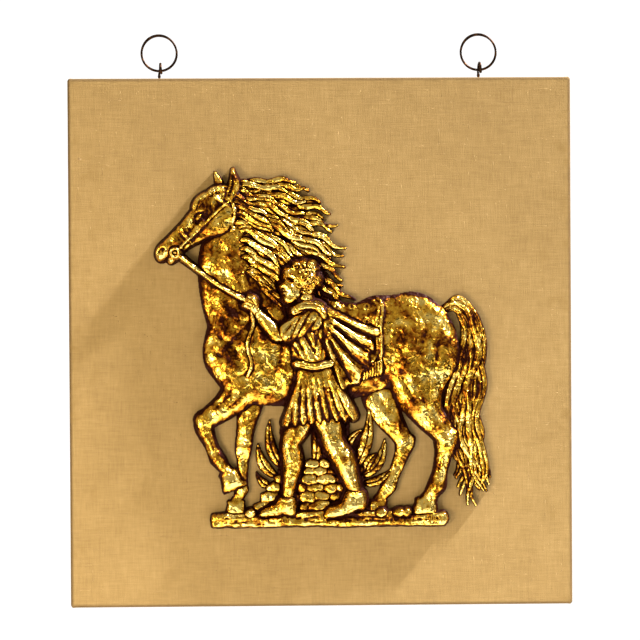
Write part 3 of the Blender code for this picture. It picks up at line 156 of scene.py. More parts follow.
def plate(g, outline, height, edge, crown=0.0, per_span=6, curved=True):
    """A flat shape inside an outline, rounded over at its edge, and its depth inside the outline."""
    p = [tuple(q) for q in outline]
    if curved:
        ring = smooth_line(p[-2:] + p + p[:2], per_span)[2 * per_span:-1 - per_span][:per_span * len(p)]
    else:
        ring = np.array(p, float)
    nearest = np.full(g.x.shape, 1e9)
    inside = np.zeros(g.x.shape, bool)
    (x0, z0), (x1, z1) = ring.min(0) - PLATE_FADE, ring.max(0) + PLATE_FADE
    window = g.window(x0, x1, z0, z1)
    x, z = g.x[window], g.z[window]
    near, held = nearest[window], inside[window]
    for a, b in zip(ring, np.roll(ring, -1, 0)):
        _, ex, ez = nearest_on(a, b, x, z)
        np.minimum(near, np.hypot(ex, ez), out=near)
        if a[1] != b[1]:
            held ^= ((a[1] > z) != (b[1] > z)) & (x < (b[0] - a[0]) * (z - a[1]) / (b[1] - a[1]) + a[0])
    depth = np.where(inside, nearest, -nearest)
    depth[nearest > 1e8] = -PLATE_FADE
    share = np.clip(depth / edge, 0, 1)
    low = height - EDGE_DROP * edge
    h = low + EDGE_DROP * edge * np.sqrt(1 - (1 - share) ** 2)
    h = h + crown * np.sqrt(np.clip(depth / max(depth.max(), 1e-9), 0, 1))
    return np.where(depth < 0, low + WALL_SLOPE * depth, h), depth


def over(base, top, groove=GROOVE, width=GROOVE_WIDTH, fillet=0.0):
    """One form laid in front of another, with a groove along the seam behind it."""
    away = np.clip((base - top) / WALL_SLOPE, 0, None)
    return blend(base - groove * np.exp(-(away / width) ** 2), top, fillet)


def pile(base, tops, groove=GROOVE, width=GROOVE_WIDTH):
    """Several forms laid one in front of the other."""
    for top in tops:
        base = over(base, top, groove, width)
    return base


def stroke(g, h, points, depth, width=STROKE_WIDTH, per_span=8):
    """A line cut into the surface, or raised on it where the depth is negative."""
    line = smooth_line([(p[0], p[1], p[2] if len(p) > 2 else 1.0) for p in points], per_span)
    far = 3 * width
    share = np.zeros(g.x.shape)
    for a, b in zip(line[:-1], line[1:]):
        window, t, ex, ez = g.beside(a, b, far)
        here = np.exp(-(np.hypot(ex, ez) / width) ** 2) * (a[2] + t * (b[2] - a[2]))
        share[window] = np.maximum(share[window], here)
    return h - depth * share


def strokes(g, h, marks):
    """Several strokes, each with its points, depth and width."""
    for points, depth, width in marks:
        h = stroke(g, h, points, depth, width)
    return h


def tapered(points):
    """The points of a stroke that fades out at both ends."""
    last = len(points) - 1
    return [(x, z, 0.0 if i in (0, last) else 1.0) for i, (x, z) in enumerate(points)]


def spread(field, g, width):
    """A field blurred by a bell curve of the given width."""
    reach = max(int(round(2.5 * width / g.step)), 1)
    weights = np.exp(-0.5 * (np.arange(-reach, reach + 1) * g.step / width) ** 2)
    weights /= weights.sum()
    for axis in (0, 1):
        pads = [(reach, reach) if k == axis else (0, 0) for k in (0, 1)]
        wide = np.pad(field, pads, mode="edge")
        n = field.shape[axis]
        field = sum(w * np.take(wide, np.arange(k, k + n), axis) for k, w in enumerate(weights))
    return field


def level_around(h, g, width, level, least):
    """The mean height around each point of what stands above a level."""
    solid = (h > level).astype(float)
    return spread(h * solid, g, width) / np.maximum(spread(solid, g, width), least)


def soften(h, g, width):
    """The surface smoothed down to a little below the rim, with its outline kept."""
    return np.where(h > SOFT_LEVEL, level_around(h, g, width, SOFT_LEVEL, 1e-6), h)


def limbs(g, parts, fillet, per_span=8):
    h = g.blank()
    for points in parts:
        h = blend(h, tube(g, points, per_span), fillet)
    return h


def hoof(g, top, toe, heel, height):
    """A hoof, from the middle of its top to its toe and heel, with a low ridge around its top."""
    across = (heel[0] - toe[0], heel[1] - toe[1])
    front = (top[0] - 0.34 * across[0], top[1] - 0.34 * across[1])
    back = (top[0] + 0.32 * across[0], top[1] + 0.32 * across[1])
    wall = plate(g, [front, toe, heel, back], height, edge=3.6, crown=1.5, curved=False)[0]
    ridge = tube(g, [(*front, 1.5, height - 3.2, 3.4), (*back, 1.4, height - 3.2, 3.2)], 3)
    return blend(wall, ridge, 0.5)


def leg(g, upper, cannon, pastern, foot):
    """A leg from shoulder or stifle down to its hoof."""
    return blend(limbs(g, [upper, cannon, pastern], 1.5), hoof(g, *foot), 0.4)


def far_fore_leg(g):
    upper = [(-62, 140, 20, 2, 0.6), (-66, 112, 13.5, 3, 4), (-70, 90, 9.6, 3.2, 5.5),
             (-72, 74, 8.4, 3.4, 5)]
    cannon = [(-72, 74, 8.8, 3.4, 5.4), (-73, 64, 8.2, 3.4, 5.2), (-73.5, 54, 6, 3.2, 3.6),
              (-74, 34, 5.2, 3.2, 3.6), (-75, 25, 6.8, 3.4, 4.4)]
    pastern = [(-75, 25, 6.8, 3.4, 4.4), (-78, 17, 5.4, 3.2, 3.8), (-80, 13, 6, 3.2, 3.8)]
    return leg(g, upper, cannon, pastern, [(-80.5, 12), (-92, -2), (-69, -2), 7])


def far_hind_leg(g):
    upper = [(80, 150, 30, 1.5, 0.6), (68, 124, 23, 2.5, 3), (72, 102, 15.5, 3, 6.5), (84, 82, 10.5, 3.2, 6),
             (91, 71, 9.2, 3.4, 5.2)]
    cannon = [(97, 75, 4, 3.2, 3), (91, 70, 9.2, 3.4, 5.2), (87, 58, 7.2, 3.2, 4.2), (79, 38, 6, 3.2, 4),
              (74, 27, 7.6, 3.4, 4.8)]
    pastern = [(74, 27, 7.6, 3.4, 4.8), (67, 17, 5.8, 3.2, 4), (64, 13, 6.2, 3.2, 4)]
    return leg(g, upper, cannon, pastern, [(63.5, 12), (49, -2), (73, -2), 7])


def near_fore_leg(g):
    upper = [(-62, 150, 25, 3, 8), (-74, 127, 18, 6, 9), (-90, 110, 12.6, 6.4, 8.4),
             (-105, 99, 10, 6.6, 7.2), (-112, 94, 9.2, 6.6, 7)]
    cannon = [(-113, 95, 9, 6.6, 7.4), (-112, 86, 8.2, 6.6, 6), (-105, 69, 5.8, 6, 4.6),
              (-99, 56, 7.2, 6, 5.6)]
    pastern = [(-99, 56, 7.2, 6, 5.6), (-92, 46, 5.4, 5.8, 4.6), (-89, 42, 6, 5.6, 4.6)]
    return leg(g, upper, cannon, pastern, [(-88, 41), (-92, 22), (-72, 30), 10.5])


def near_hind_leg(g):
    upper = [(98, 190, 34, 1, 8), (106, 158, 33, 5, 11), (103, 128, 24.5, 6, 11), (112, 103, 16, 6.4, 9.5),
             (126, 84, 11.2, 6.6, 8), (132, 74, 10, 6.8, 7.4)]
    cannon = [(139, 80, 4, 6.4, 4), (132, 73, 10, 6.8, 7.2), (130, 61, 7.8, 6.4, 5.4),
              (126, 42, 6.4, 6.2, 5), (123, 28, 8.2, 6.4, 6)]
    pastern = [(123, 28, 8.2, 6.4, 6), (116, 17, 6.2, 6.2, 5), (113, 13, 6.8, 6, 5)]
    return leg(g, upper, cannon, pastern, [(112, 12.5), (97, -2), (122, -2), 11])


def trunk(g):
    """The horse's barrel, chest, neck and haunch."""
    barrel = [(-50, 164, 54, 4, 11.5), (0, 162, 53, 4, 11.5), (44, 166, 46, 4, 11), (76, 174, 42, 4, 10.5)]
    haunch = [(66, 186, 34, 3, 9), (100, 180, 38, 4, 11), (110, 162, 36, 4, 11.5)]
    shoulder = [(-36, 206, 20, 2, 9), (-60, 172, 31, 4, 12.5), (-74, 148, 29, 4, 12)]
    neck = [(-60, 186, 44, 4, 11), (-78, 218, 36, 4, 10.5), (-88, 252, 29, 4, 10), (-87, 284, 23, 4, 9)]
    breast = [(-90, 200, 15, 1, 9), (-95, 176, 16, 3.4, 10), (-95, 156, 16.5, 4, 10.5), (-80, 134, 14, 3, 9)]
    h = limbs(g, [barrel, haunch], 6, 14)
    for part, fillet in ((shoulder, 5), (neck, 6), (breast, 6)):
        h = blend(h, tube(g, part, 14), fillet)
    return h


RIBS = (-20, -6, 8, 22, 36)
MUSCLE_DEPTH = 1.5


def muscles(g, h):
    """The hollows between the horse's muscles, its ribs, and the tendons of its legs."""
    hollows = (
        ([(-40, 216), (-62, 196), (-90, 168), (-104, 152)], 1.5, 4.2),
        ([(-36, 190), (-34, 160), (-46, 134)], 1.3, 4),
        ([(-56, 152), (-70, 142), (-90, 134)], 1.2, 3.4),
        ([(-92, 286), (-97, 256), (-104, 226), (-106, 196)], 1.1, 5),
        ([(-78, 280), (-72, 254), (-64, 230), (-46, 212)], 0.8, 5),
        ([(-84, 178), (-78, 160), (-62, 148)], 0.9, 4),
        ([(-107, 190), (-94, 178), (-82, 172)], 0.8, 2.6), ([(-108, 172), (-96, 160), (-80, 156)], 0.7, 2.4),
        ([(-84, 272), (-90, 240), (-88, 212), (-76, 190)], 0.5, 4),
        ([(52, 206), (58, 176), (66, 146), (76, 124)], 1.8, 5),
        ([(88, 214), (84, 184), (88, 158)], 0.8, 5),
        ([(104, 212), (112, 190), (108, 166), (100, 150)], 0.8, 4),
        ([(128, 190), (122, 158), (116, 128)], 1.4, 4),
        ([(84, 152), (92, 128), (104, 108)], 1.0, 3.2),
        ([(118, 116), (126, 100), (134, 84)], 1.1, 2.2), ([(104, 128), (110, 112), (118, 98)], 0.8, 2.4),
        ([(60, 126), (68, 112), (80, 96)], 0.8, 2.8), ([(80, 116), (86, 100), (92, 84)], 0.6, 2),
        ([(-80, 130), (-94, 113), (-106, 103)], 1.0, 2.4), ([(-66, 128), (-82, 112), (-98, 100)], 0.6, 2),
        ([(-104, 98), (-102, 84), (-98, 68)], 0.7, 1.6),
        ([(-66, 120), (-70, 104), (-72, 88)], 0.7, 2.2),
        ([(44, 126), (62, 130), (74, 142)], 1.0, 3.4),
        ([(-42, 122), (-14, 113), (20, 115), (46, 124)], 0.7, 3),
        ([(-110, 84), (-105, 72), (-101, 60)], 0.5, 1.1), ([(129, 62), (125, 46), (122, 32)], 0.5, 1.2),
        ([(86, 60), (79, 44), (74, 32)], 0.45, 1.1), ([(-71, 62), (-72, 46), (-73, 30)], 0.45, 1.1),
    )
    h = strokes(g, h, [(tapered(points), MUSCLE_DEPTH * depth, width) for points, depth, width in hollows])
    ribs = [[(x + 6, 176), (x, 150), (x - 4, 128), (x - 4, 114)] for x in RIBS]
    return strokes(g, h, [(tapered(points), 0.8, 2.8) for points in ribs])


POLL = (-86.0, 322.0)
FACE_SLANT = math.radians(222.0)
HEAD_SCALE = 1.04


def on_head(along, side):
    """A drawing point, from a distance down the face from the poll and one towards the brow."""
    c, s = math.cos(FACE_SLANT), math.sin(FACE_SLANT)
    a, b = HEAD_SCALE * along, HEAD_SCALE * side
    return POLL[0] + a * c + b * s, POLL[1] + a * s - b * c


def head_line(points):
    return [(*on_head(p[0], p[1]), *p[2:]) for p in points]


def horse_head(g):
    brow_side = [(-3, 2), (3, 9.5), (14, 13.5), (28, 14.6), (44, 11.8), (60, 10), (74, 9.8), (84, 9.4)]
    muzzle = [(91, 5.5), (93, -0.5), (90.5, -4.4), (85, -5.6), (86, -9.5), (81, -12.6), (73, -10.6)]
    jaw_side = [(60, -12), (46, -16.5), (34, -23), (20, -26.5), (8, -23), (-2, -14)]
    outline = brow_side + muzzle + jaw_side
    h = plate(g, head_line(outline), 13, edge=8, per_span=4)[0]
    masses = (
        [(6, -8, 8, 7, 6), (14, -10, 14, 9, 7), (24, -12, 14.5, 9, 7.4), (34, -11, 10, 9, 6)],
        [(6, 4, 8, 9, 5.5), (26, 7, 8, 9, 6), (50, 5.5, 6, 9, 5.6), (74, 4.5, 5, 9, 4.6)],
        [(36, -2, 4, 9, 6.6), (50, -4, 3.6, 9, 5.8), (62, -5, 3, 9, 5)],
        [(80, 2.5, 7, 9, 5), (87, 0.5, 5, 9, 4.4)],
        [(80, -8.5, 3.8, 8, 3.8), (84, -9, 3, 8, 3.4)],
    )
    for points in masses:
        h = blend(h, tube(g, head_line(points)), 1.6)
    mouth = [(91, -3.6), (84, -4.8), (76, -4.2)]
    nostril = [(87.5, 4.2), (84, 5.2), (81.5, 3.4), (84, 2.4)]
    nostril_rim = [(89, 5.4), (84, 7.6), (79.5, 4.2), (82.5, 0.6)]
    eye_socket = [(30, 3.4), (34, 6.8), (40, 5.6), (42, 2.2), (37, 0.4), (31, 1.8)]
    brow = [(28, 5.6), (34, 8.8), (41, 7.6)]
    jaw = [(40, -12), (52, -8.5), (64, -7.5)]
    h = strokes(g, h, [(head_line(mouth), 2.2, 1.1), (head_line(nostril), 2.6, 1.5),
                       (head_line(nostril_rim), -1.0, 1.2), (head_line(eye_socket), 1.6, 1.5)])
    h = blend(h, tube(g, head_line([(34.4, 3.6, 2.7, 13.6, 2.6), (37.6, 3.4, 2.5, 13.6, 2.6)]), 4), 0.3)
    return strokes(g, h, [(head_line(brow), -1.1, 1.4), (head_line(jaw), 0.9, 2.6)])


def bridle(g, h):
    """Straps on the horse's head, each standing a little above the skin beside it."""
    straps = (
        [(-1, -5), (20, -4), (48, -6), (76, -6.5)],
        [(57, 10.5), (58, 0), (58, -12)],
        [(9, 12), (10, 2), (7, -6)],
        [(2, -6), (6, -16), (20, -27)],
    )
    for points in straps:
        line = head_line(points)
        h = stroke(g, stroke(g, h, line, 1.0, 3.0), line, -2.4, 1.5)
    for along, side in ((9, -4.2), (58, -6)):
        x, z = on_head(along, side)
        h = stroke(g, h, [(x - 0.6, z), (x + 0.6, z)], -1.4, 2.2, 2)
    return h


def ears(g):
    near = tube(g, [(-86, 318, 5.6, 9, 4), (-80.5, 331, 5.6, 9, 4.4), (-82, 347.6, 1, 8, 1)])
    near = stroke(g, near, [(-85.5, 322), (-82, 332), (-82.6, 342)], 2.4)
    far = tube(g, [(-97, 322, 4.6, 6, 3), (-95.5, 332, 4.6, 6, 3), (-100, 345, 1, 5, 1)])
    return near, far


def lock(g, points, wide, edge, crown, wave, phase, turns, strands):
    """A lock of hair: narrow at its root, widest a third of the way along, and drawn out to a tip."""
    line = smooth_line(points, 7)
    t = np.linspace(0, 1, len(line))
    run = np.gradient(line, axis=0)
    run /= np.maximum(np.linalg.norm(run, axis=1, keepdims=True), 1e-9)
    sway = wave * t ** 0.6 * np.sin(phase + 2 * math.pi * turns * t)
    x, z = line[:, 0] - run[:, 1] * sway, line[:, 1] + run[:, 0] * sway
    swell = (t + 0.02) ** 0.6 * (1 - 0.94 * t) ** 0.75
    r = wide * swell / swell.max()
    rise = crown * (0.35 + 0.65 * swell / swell.max())
    path = list(zip(x, z, np.maximum(r, 0.7), np.full(len(t), edge), rise))
    h, along, across = tube(g, path, 2, places=True)
    ribs = 0.5 - 0.5 * np.cos(across * math.pi * 3)
    return np.where(np.abs(across) < 1, h - strands * ribs * (1 - 0.7 * along), h)


MANE_ROWS = ((24, 88, 4.3, 3.2), (25, 74, 4.1, 5.2), (25, 58, 3.9, 7.2), (24, 40, 3.6, 9.2))


def mane(g, strands):
    """Four rows of thin wavy locks that stream back from the crest of the neck."""
    rng = np.random.default_rng(21)
    crest = smooth_line([(-94, 326), (-82, 317), (-70, 294), (-63, 266), (-54, 242), (-38, 222)], 8)
    h = g.blank()
    for row, (count, long, wide, edge) in enumerate(MANE_ROWS):
        for i in range(count):
            s = (i + 0.5 * (row % 2)) / (count - 0.4)
            root = crest[int(round(s * (len(crest) - 1)))]
            x, z = root[0] + rng.uniform(-5, 4) - 3 * row, root[1] + rng.uniform(-3, 3)
            reach = long * (0.86 + 0.24 * math.sin(s * math.pi)) + rng.uniform(-9, 7)
            lift = 0.24 - 0.60 * s - 0.11 * row + rng.uniform(-0.09, 0.09)
            dx, dz = reach * math.cos(lift), reach * math.sin(lift)
            sag = 0.20 * reach * (0.5 + s)
            points = [(x, z), (x + 0.2 * dx, z + 0.2 * dz + 3), (x + 0.45 * dx, z + 0.45 * dz + 2),
                      (x + 0.75 * dx, z + 0.75 * dz - 0.4 * sag), (x + dx, z + dz - sag)]
            swing = 5.0 * s + 1.1 * row + rng.uniform(-0.5, 0.5)
            h = over(h, lock(g, points, wide, edge, 3.9, 2.1, swing, reach / 26, strands), 1.3, 0.9)
    for i in range(5):
        points = [(-88 - 3 * i, 324), (-95 - 4 * i, 329 - 2 * i), (-103 - 4 * i, 322 - 3 * i),
                  (-106 - 3 * i, 308 - 4 * i)]
        h = over(h, lock(g, points, 3.2, 11, 3.4, 1.2, 1.6 * i, 1.2, strands), 0.7, 0.9)
    return h


def tail(g, strands):
    rng = np.random.default_rng(4)
    count = 21
    h = g.blank()
    for i in sorted(range(count), key=lambda k: (k * 8) % count):
        s = i / (count - 1) - 0.5
        side = 1 if i % 2 else -1
        short = rng.uniform(-12, 10) + 30 * abs(s)
        points = [(128, 205 + 7 * s), (143 + 5 * s, 211 + 11 * s), (157 + 11 * s, 194 + 8 * s),
                  (159 + 20 * s + 2.4 * side, 160), (151 + 30 * s - 2.4 * side, 122),
                  (149 + 32 * s + 3 * side, 84), (156 + 28 * s - 3 * side, 48 + 0.6 * short),
                  (159 + 28 * s + 5 * side, 14 + short)]
        strand = lock(g, points, 4.6, 3, 4.2 + rng.uniform(-0.8, 1.2), 2.0, 7 * s, 5.0, strands)
        h = over(h, strand, 1.2, 0.9)
    return h


CLOTH_CORNERS = [(-20, 226), (62, 221), (68, 186), (64, 150), (24, 141), (-18, 147), (-24, 186)]


def saddle_cloth(g, h):
    """A cloth on the horse's back, with two bands along its edge and a row of tassels below it."""
    depth = plate(g, CLOTH_CORNERS, 10, edge=2, per_span=5)[1]
    skin = h > RIM_LEVEL
    bands = sum(np.exp(-((depth - away) / 1.3) ** 2) for away in (2.0, 6.5))
    rise = 1.8 * np.clip(depth / 1.2, 0, 1) + 0.9 * bands * (depth > 0)
    h = np.where(skin, h + rise, h)
    for x in range(-8, 60, 15):
        for z in range(164, 216, 15):
            flower = [(x + 2.6 * math.cos(a), z + 2.6 * math.sin(a)) for a in np.linspace(0, 2 * math.pi, 7)]
            h = stroke(g, h, flower, -0.9, 1.1, 2)
    rng = np.random.default_rng(5)
    hem = smooth_line([(66, 152), (46, 145), (24, 140), (2, 142), (-20, 147)], 7)
    for x, z in hem:
        drop = 10 + rng.uniform(-1, 1.5)
        tassel = [(x, z + 2, 1.5, 13.8, 1.8), (x + 0.6, z - 0.5 * drop, 1.9, 13.2, 2),
                  (x - 0.4, z - drop, 1.1, 12.6, 1)]
        h = over(h, tube(g, tassel, 2), 0.6, 0.8)
    return h


def groom_legs(g):
    """Both legs in low boots, the near one trailing with its heel raised."""
    far_leg = [(-6, 112, 13, 9, 6), (-18, 86, 11, 9.5, 6.5), (-25, 71, 8.8, 10, 6.8),
               (-23, 54, 9.2, 10, 6.5), (-26, 34, 6.6, 10, 5.5), (-29, 16, 5, 10, 4.8)]
    near_leg = [(6, 112, 15, 12, 7), (14, 88, 12, 12.5, 7.5), (18, 72, 9.2, 13, 7.8), (28, 55, 9.8, 13, 7.5),
                (35, 36, 6.8, 13, 6.4), (40, 21, 5.2, 13, 5)]
    far_boot = [(-22.5, 16), (-35.5, 17), (-41, 9.5), (-51, 5), (-56, 1), (-55.5, -2), (-40, -1.5),
                (-33, 0.5), (-24, -1.5), (-20.5, 3)]
    near_boot = [(34, 24), (47, 22), (49.5, 13), (47.5, 5.5), (43.5, 5.5), (38, 3.5), (26, -1.5), (12, -3),
                 (10.5, 0.5), (15, 5), (27, 10)]
    far = stroke(g, tube(g, far_leg, 12), tapered([(-21, 80), (-25, 70), (-21, 60), (-20, 50)]), 1.0, 2.2)
    near = stroke(g, tube(g, near_leg, 12), tapered([(16, 84), (20, 72), (25, 62), (33, 48)]), 1.1, 2.2)
    far_marks = (
        ([(-36, 16), (-29, 14.5), (-22, 15.5)], -1.4, 1.3), ([(-44, 8), (-40, 3.5), (-39, -2)], -1.4, 1.3),
        ([(-55, -0.5), (-40, 0.8), (-30, 1.8), (-21, 0.5)], 0.9, 0.8))
    near_marks = (
        ([(34, 22), (40, 20), (47, 20.5)], -1.4, 1.3), ([(26, 9), (28, 4), (33, 0)], -1.4, 1.3),
        ([(12, -1), (26, 0.8), (38, 5.6), (44, 7.8)], 0.9, 0.8))
    booted = []
    for h, outline, high, marks in ((far, far_boot, 14, far_marks), (near, near_boot, 17, near_marks)):
        boot = plate(g, outline, high, edge=4.5, crown=2.4, per_span=4)[0]
        booted.append(strokes(g, over(soften(h, g, 1.0), soften(boot, g, 1.0), 0.9, 1.2), marks))
    return booted


TUNIC_WAIST = ((-15, 152), (14, 152))
TUNIC_HEM = ((-33, 91), (42, 98))
PLEATS = 9


def between(a, b, share):
    return a[0] + share * (b[0] - a[0]), a[1] + share * (b[1] - a[1])


def tunic(g):
    """The body of the tunic, its pleated skirt and the belt between them."""
    chest = [(-9, 197, 15, 14, 7), (-8, 182, 19, 14, 8.5), (-5, 164, 17.5, 14, 8), (-1, 150, 15.5, 14, 7.5)]
    torso = tube(g, chest, 16)
    creases = (
        [(-20, 198, 0.3), (-11, 182), (-3, 168), (3, 157, 0.3)],
        [(-25, 186, 0.3), (-17, 174), (-8, 158, 0.4)],
        [(5, 200, 0.3), (3, 182), (7, 170), (5, 157, 0.4)], [(-26, 174, 0.4), (-20, 166), (-13, 156, 0.4)],
        [(-12, 202, 0.3), (-4, 190), (1, 176), (-1, 164, 0.3)], [(10, 190, 0.3), (9, 174), (11, 158, 0.5)],
    )
    torso = strokes(g, torso, [(points, 2.0, 1.8) for points in creases])
    scallops = []
    for i in range(2 * PLEATS + 1):
        x, z = between(*TUNIC_HEM, i / (2 * PLEATS))
        scallops.append((x, z - (2.6 if i % 2 else -1.0)))
    outline = [TUNIC_WAIST[0], (-19, 132), (-27, 108)] + scallops + [(34, 116), (22, 134), TUNIC_WAIST[1]]
    skirt = plate(g, outline, 15.5, edge=4, crown=3.2, per_span=3)[0]
    for i in range(PLEATS):
        s = (i + 0.5) / PLEATS
        top, low = between(*TUNIC_WAIST, s), between(*TUNIC_HEM, s)
        middle = (0.42 * top[0] + 0.58 * low[0] - 2.5, 0.5 * (top[1] + low[1]))
        skirt = stroke(g, skirt, [(*top, 0.6), (*middle, 1), (low[0], low[1] - 3, 1.1)], -3.0, 2.9)
    torso = over(torso, skirt, 1.0, 1.4)
    belt_line = [(-18, 152), (-1, 149), (15, 152)]
    belt = tube(g, [(x, z, 3.4, 19 + 1.4 * (i == 1), 3) for i, (x, z) in enumerate(belt_line)])
    for rise in (-1.1, 1.1):
        belt = stroke(g, belt, [(x, z + rise) for x, z in belt_line], 0.8, 0.6)
    return torso, belt


def rein_arm(g):
    """The near arm, raised to the horse's neck, with the rein gripped in the hand."""
    sleeve = tube(g, [(-4, 196, 12, 17, 6), (-16, 189, 11.5, 17, 7), (-27, 183.5, 9.8, 17, 5.8)], 12)
    creases = (
        [(-2, 207, 0.3), (-9, 197), (-15, 186), (-20, 175, 0.6)],
        [(-12, 203, 0.3), (-18, 193), (-24, 178, 0.6)],
        [(4, 200, 0.3), (-3, 190), (-10, 178, 0.5)], [(-20, 199, 0.3), (-25, 190), (-31, 182, 0.6)],
    )
    sleeve = strokes(g, sleeve, [(points, 1.7, 1.7) for points in creases])
    upper = [(-18, 187, 7.4, 16, 6), (-34, 181, 6.8, 16, 6), (-40, 181, 6.2, 16, 5.6)]
    lower = [(-38, 180, 6.4, 16, 5.8), (-47, 191, 6.6, 16, 6), (-58, 204, 4.4, 16, 4.8),
             (-61, 208, 4.4, 16, 4.8)]
    palm = [(-61, 209, 5.6, 16, 5), (-65, 214.5, 6, 16, 5.2)]
    arm = limbs(g, [upper, lower, palm], 1.2, 10)
    arm = stroke(g, arm, [(-54, 206), (-58, 202), (-60, 198)], -1.3, 1.2)
    for i in range(4):
        x, z = -71 + 1.9 * i, 211 + 2.5 * i
        finger = [(x, z, 2, 18, 2.4), (x + 2.6, z - 0.4, 2.2, 19, 2.6), (x + 5.4, z - 2.4, 1.9, 19, 2.2)]
        arm = over(arm, tube(g, finger, 3), 0.7, 0.7)
    thumb = [(-59, 213, 2.2, 19, 2.6), (-62, 217.5, 2.1, 19.6, 2.6), (-66, 219.5, 1.7, 19, 2.2)]
    return sleeve, over(arm, tube(g, thumb, 3), 0.7, 0.7)


HEAD_MIDDLE = (-13.0, 237.0)
CURL_GAP = 6.6
CURL_TURNS = ((3.3, 0.0), (3.3, 1.1), (2.9, 2.2), (2.3, 3.3), (1.6, 4.4), (0.8, 5.5))


def groom_head(g):
    """A plain profile to the left under a cap of curls."""
    neck = tube(g, [(-7, 203, 9.5, 14, 6.4), (-11, 219, 8, 14, 6)], 12)
    neck = stroke(g, neck, tapered([(-16, 228), (-13, 216), (-9, 206)]), 1.2, 1.8)
    skull = tube(g, [(-13, 237, 13, 15, 7.5), (-17, 237, 12.8, 15, 7.5)])
    brow = [(-28.6, 247), (-30.6, 242.6), (-30.8, 238.6), (-29.7, 236.2)]
    nose = [(-31.4, 233.4), (-34.6, 229.6), (-33.6, 228), (-30.9, 227.7)]
    lips = [(-32, 225.6), (-30.8, 224.4), (-31.5, 222.6), (-29.7, 221)]
    chin = [(-31, 217.6), (-29.4, 214.4), (-25.4, 213.4), (-18, 217), (-13, 225), (-13, 240), (-20, 248)]
    skull = blend(skull, plate(g, brow + nose + lips + chin, 20.5, edge=4.4, crown=1.2, per_span=4)[0], 1.6)
    cheek = [(-24.5, 229, 4.2, 17.5, 5.2), (-22.5, 224, 4.6, 17, 4.8), (-22, 219.5, 4, 16.6, 4.4)]
    skull = blend(skull, tube(g, cheek, 6), 1.6)
    skull = stroke(g, skull, tapered([(-29, 226.9), (-26, 228.2), (-25, 231.4), (-25, 233)]), 0.8, 1.0)
    eyelid = tapered([(-30.8, 236.4), (-27.6, 236.9), (-23.4, 235.4), (-20.6, 233.6)])
    eyebrow = tapered([(-30.6, 239.4), (-27, 240.2), (-22.8, 238.8), (-19.6, 236.4)])
    skull = strokes(g, skull, [(eyelid, 2.0, 1.5), (eyebrow, -1.5, 1.2)])
    skull = blend(skull, tube(g, [(-27.8, 235, 1.7, 18.6, 2), (-25.6, 234.7, 1.7, 18.6, 2)], 4), 0.3)
    skull = strokes(g, skull, [
        ([(-29.4, 235.9), (-27, 236.5), (-24, 235.2)], -0.7, 0.6),
        ([(-29.4, 233.9), (-27, 233.2), (-24.4, 234)], -0.5, 0.6),
        ([(-32.4, 224.2), (-29.6, 224.2), (-27, 223.6, 0.2)], 1.5, 0.7),
        (tapered([(-33.2, 229), (-31.4, 229.8), (-30.6, 231.2)]), 0.9, 0.8)])
    rng = np.random.default_rng(8)
    hair = tube(g, [(-14, 240, 12.6, 14.5, 6), (-9.5, 235, 12, 14.5, 6)], 12)
    for row in range(-3, 4):
        for column in range(-3, 4):
            x = HEAD_MIDDLE[0] + 2 + CURL_GAP * (column + 0.5 * (row % 2)) + rng.uniform(-0.9, 0.9)
            z = HEAD_MIDDLE[1] + 1 + 0.87 * CURL_GAP * row + rng.uniform(-0.9, 0.9)
            out = math.hypot((x - HEAD_MIDDLE[0] - 2) / 15.5, (z - HEAD_MIDDLE[1] - 1) / 15)
            on_face = x < -19.5 and z < 244.5
            below_ear = z < 226 - 0.45 * (x - HEAD_MIDDLE[0])
            if out > 1.0 or on_face or below_ear:
                continue
            turn, high = rng.uniform(0, 6.3), 21.5 - 4.5 * out ** 2
            spiral = [(x + r * math.cos(turn + a), z + r * math.sin(turn + a), 1.6, high - 2.6, 3)
                      for r, a in CURL_TURNS]
            hair = over(hair, tube(g, spiral, 4), 1.2, 0.9)
    return neck, skull, hair


CLOAK_FOLDS = (
    [(0, 208, 0.4), (24, 199), (44, 190), (63, 184)], [(2, 205, 0.4), (22, 192), (40, 180), (58, 171)],
    [(3, 203, 0.4), (20, 184), (36, 169), (55, 156)], [(4, 200, 0.4), (17, 176), (30, 157), (46, 139)],
    [(4, 196, 0.4), (12, 172), (19, 152), (27, 128)],
)


def cloak(g):
    """A short cloak blown back from the shoulders, and the roll of cloth around the neck."""
    top_edge = [(-2, 213), (14, 208), (32, 199), (50, 191), (64, 187), (66, 180)]
    hem = [(58, 175), (60, 166), (54, 158), (56, 148), (46, 142), (44, 132), (33, 130), (27, 122), (18, 130)]
    inner_edge = [(11, 152), (6, 180), (-2, 198)]
    h = plate(g, top_edge + hem + inner_edge, 15, edge=4, crown=2.5, per_span=4)[0]
    h = strokes(g, h, [(points, -3.6, 3.0) for points in CLOAK_FOLDS])
    for a, b in zip(CLOAK_FOLDS, CLOAK_FOLDS[1:]):
        h = stroke(g, h, [between(p, q, 0.5) for p, q in zip(a[1:], b[1:])], 1.8, 1.8)
    roll = tube(g, [(-20, 205, 4.6, 19, 4), (-10, 209, 5.6, 19, 4.6), (2, 207, 5.4, 18.4, 4.6),
                    (8, 200, 4.6, 17.5, 4)])
    return h, strokes(g, roll, [
        (tapered([(-22, 203), (-12, 206), (-2, 206), (6, 200)]), 1.6, 1.0),
        (tapered([(-18, 209), (-8, 211.5), (2, 210), (8, 204)]), 1.4, 0.9)])


